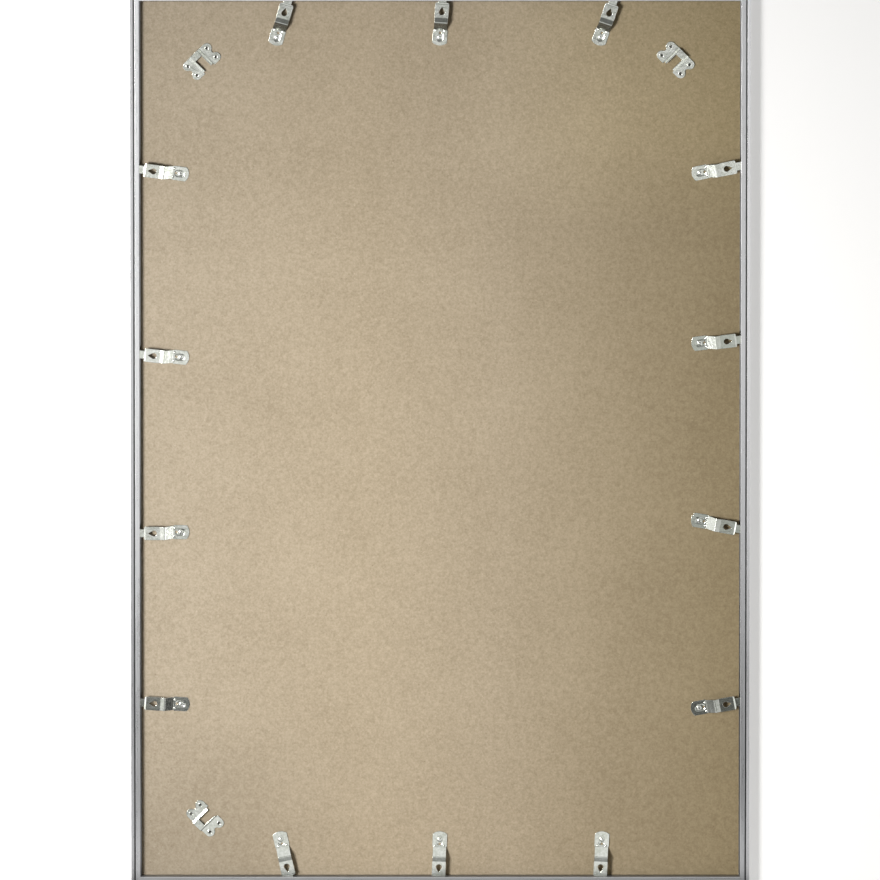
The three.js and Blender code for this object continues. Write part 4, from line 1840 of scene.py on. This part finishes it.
@dataclass
class Studio:
    """Camera, lamps, world, floor and the wall that the frame's display face is turned to.

    Lengths are in metres, except the lens and the sensor in millimetres.
    """

    lens: float = 1500.0
    sensor: float = 36.0
    pitch: float = 13.5
    view_width: float = 0.8954
    aim: Point = (0.0002, 0.0075, 0.0003)
    key: SoftLamp = SoftLamp("key", (1.54, 2.34, 0.15), (0.35, 0.0, -0.08), 0.8, 7.3, (1.0, 0.99, 0.975))
    front: SoftLamp = SoftLamp("front", (-1.2, -2.4, 1.1), (0.0, 0.0, 0.05), 1.2, 3.1)
    ambient: float = 0.09
    ambient_colour: Colour = (1.0, 0.94, 0.80, 1.0)
    floor_reach: float = 14.0
    floor_gap: float = 0.0005
    floor_glow: float = 0.55
    wall_half: float = 3.0
    wall_height: float = 3.0
    wall_gap: float = 0.001
    wall_glow: float = 0.47
    display_strength: float = 0.8

    def camera(self) -> None:
        """Stand far behind the frame with a long lens, looking down at it by the pitch."""
        data = bpy.data.cameras.new("camera")
        data.lens, data.sensor_width = self.lens, self.sensor
        distance = self.view_width * self.lens / data.sensor_width
        data.clip_start, data.clip_end = distance * 0.5, distance * 2
        camera = bpy.data.objects.new("camera", data)
        lean = math.radians(self.pitch)
        aim = Vector(self.aim)
        camera.location = aim + distance * Vector((0.0, math.cos(lean), math.sin(lean)))
        camera.rotation_euler = (aim - camera.location).to_track_quat("-Z", "Y").to_euler()
        bpy.context.scene.collection.objects.link(camera)
        bpy.context.scene.camera = camera

    def mirrored(self, sketch: NodeSketch, path: Node) -> Socket:
        """Give 1 for a ray that mirrors the room to the eye, and 0 once it has met a matt surface."""
        matt = sketch.math("MINIMUM", path.outputs["Diffuse Depth"], 1.0)
        return sketch.times(path.outputs["Is Glossy Ray"], sketch.math("SUBTRACT", 1.0, matt))

    def to_the_eye(self, sketch: NodeSketch, path: Node) -> Socket:
        """Give 1 for rays from the camera or through glass."""
        return sketch.math("MAXIMUM", path.outputs["Is Camera Ray"], path.outputs["Is Transmission Ray"])

    def world(self) -> None:
        """Make a pale room, weak as a light, with a dim band level with the frame in mirrors."""
        world = bpy.data.worlds.new("studio")
        world.use_nodes = True
        bpy.context.scene.world = world
        sketch = NodeSketch(world.node_tree)
        weak = world.node_tree.nodes["Background"]
        sketch.feed(weak.inputs["Color"], self.ambient_colour)
        sketch.feed(weak.inputs["Strength"], self.ambient)
        x, _, z = sketch.axes(sketch.add("ShaderNodeTexCoord").outputs["Generated"])
        above = sketch.ramp(z, 0.12, 0.75, 0.0, 0.7)
        aside = sketch.ramp(sketch.math("ABSOLUTE", x), 0.4, 0.85, 0.0, 0.95)
        least, most = 0.12, 1.1
        room = sketch.math("MINIMUM", sketch.plus(above, aside, least), most)
        path = sketch.add("ShaderNodeLightPath")
        level = sketch.math("MAXIMUM", room, path.outputs["Is Camera Ray"])
        bright = sketch.add("ShaderNodeBackground", {"Color": grey(1.0), "Strength": level})
        seen = sketch.math("MAXIMUM", self.to_the_eye(sketch, path), self.mirrored(sketch, path))
        sketch.show(seen, weak, bright, "World Output")

    def plane(self, name: str, corners: list[Point], material: Material) -> Piece:
        """Make one flat stage surface.

        Args:
            name: object name.
            corners: its four corners, in order.
            material: finish.

        Returns:
            The surface's object.
        """
        mesh = bpy.data.meshes.new(name)
        mesh.from_pydata(corners, [], [(0, 1, 2, 3)])
        mesh.materials.append(material)
        made = bpy.data.objects.new(name, mesh)
        bpy.context.scene.collection.objects.link(made)
        return made

    def stage(self) -> None:
        """Lay the floor, and stand the wall just beyond the display face."""
        low = Vector(SOLID_BOX[0])
        ground, reach = low.z - self.floor_gap, self.floor_reach
        turns = ((-1, -1), (1, -1), (1, 1), (-1, 1))
        self.plane("floor", [(x * reach, y * reach, ground) for x, y in turns], self.floor_finish())
        wall, half, top = low.y - self.wall_gap, self.wall_half, self.wall_height
        corners = [(-half, wall, ground), (-half, wall, top), (half, wall, top), (half, wall, ground)]
        backdrop = self.plane("wall", corners, self.wall_finish())
        backdrop.visible_shadow = False
        backdrop.visible_diffuse = False
        backdrop.visible_glossy = False

    def pale(self, name: str, tone: float) -> tuple[Material, NodeSketch, Node]:
        """Make a plain pale matt surface.

        Args:
            name: material name.
            tone: how light it is.

        Returns:
            The material, a sketch of its tree and its shader.
        """
        material = bpy.data.materials.new(name)
        material.use_nodes = True
        shader = material.node_tree.nodes["Principled BSDF"]
        shader.inputs["Base Color"].default_value = grey(tone)
        shader.inputs["Roughness"].default_value = 0.9
        shader.inputs["Emission Color"].default_value = grey(1.0)
        return material, NodeSketch(material.node_tree), shader

    def floor_tones(self, sketch: NodeSketch, away: Socket) -> Socket:
        """Give the strength of the mirrored floor straight behind the frame.

        Args:
            sketch: the floor's tree.
            away: distance behind the frame, as a share of the last stop's.

        Returns:
            The strength, which changes evenly from stop to stop.
        """
        tones = sketch.add("ShaderNodeValToRGB", {0: away})
        stops = tones.color_ramp.elements
        farthest = FloorTone.END.value[0]
        for index, tone in enumerate(FloorTone):
            metres, strength = tone.value
            place = metres / farthest
            stop = stops[index] if index < 2 else stops.new(place)
            stop.position, stop.color = place, grey(strength)
        return tones.outputs["Color"]

    def floor_finish(self) -> Material:
        """Make a pale floor, white to the eye, that mirrors dimmer close in front of the frame.

        Metal sees the floor's tones by distance, paler beside the frame, held up where a hanger's
        wings see it and faded out for what looks down from high up.

        Returns:
            The floor's material.
        """
        material, sketch, shader = self.pale("floor_white", 0.8)
        x, y, _ = sketch.axes(sketch.add("ShaderNodeTexCoord").outputs["Object"])
        aside = sketch.math("ABSOLUTE", x)
        away = sketch.ramp(y, 0.0, FloorTone.END.value[0])
        level = self.floor_tones(sketch, away)
        for_hangers = sketch.times(
            sketch.ramp(aside, 0.275, 0.255),
            sketch.ramp(away, 0.15, 0.12, 0.0, 0.85),
            sketch.ramp(away, 0.013, 0.02),
        )
        level = sketch.math("MAXIMUM", level, for_hangers)
        sideways = sketch.ramp(y, 0.5, 1.0, 2.1, 0.68)
        level = sketch.blend(sketch.ramp(aside, 0.42, 0.8), level, sideways)
        path = sketch.add("ShaderNodeLightPath")
        from_above = sketch.times(
            sketch.ramp(y, 0.22, 0.3, 1.0, 0.0),
            sketch.ramp(path.outputs["Ray Length"], 0.3, 0.6, 0.0, 0.95),
        )
        level = sketch.times(level, sketch.math("SUBTRACT", 1.0, from_above))
        on_display_side = sketch.ramp(y, 0.0, -0.03)
        level = sketch.blend(on_display_side, level, grey(self.display_strength))
        mirrored = sketch.add("ShaderNodeEmission", {"Color": grey(1.0), "Strength": level})
        glow = sketch.times(self.to_the_eye(sketch, path), self.floor_glow)
        sketch.feed(shader.inputs["Emission Strength"], glow)
        sketch.show(self.mirrored(sketch, path), shader, mirrored)
        return material

    def wall_finish(self) -> Material:
        """Make a pale wall that is seen from the room and clear from behind.

        Returns:
            The wall's material.
        """
        material, sketch, shader = self.pale("wall_white", 1.0)
        sketch.feed(shader.inputs["Emission Strength"], self.wall_glow)
        clear = sketch.add("ShaderNodeBsdfTransparent")
        sketch.show(sketch.add("ShaderNodeNewGeometry").outputs["Backfacing"], shader, clear)
        return material

    def build(self) -> None:
        """Set up the whole studio."""
        bpy.context.scene.view_settings.view_transform = "Standard"
        self.camera()
        self.key.hang()
        self.front.hang()
        self.world()
        self.stage()


def main() -> None:
    """Dress the frame and set up its studio."""
    logging.basicConfig(level=logging.INFO, format="%(message)s")
    groups = Groups.make()
    zinc = Zinc().material(groups)
    rivet_zinc = Zinc(
        name="rivet_zinc",
        bright=(0.90, 0.91, 0.87, 1.0),
        dull=(0.76, 0.78, 0.71, 1.0),
        roughness=0.15,
        bore_level=PANEL_BACK + 0.8 * MM,
    ).material(groups)
    RailSet().build(groups)
    dress([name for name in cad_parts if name.startswith("corner_key_")], KeySteel().material(groups))
    dress(["back_panel"], Hardboard().material(groups))
    dress(["insert"], Paper().material(groups))
    dress(["glazing"], Acrylic().material(groups))
    ClipSet().build(zinc, rivet_zinc)
    HangerSet().build(zinc, rivet_zinc)
    Studio().build()


if __name__ == "__main__":
    main()
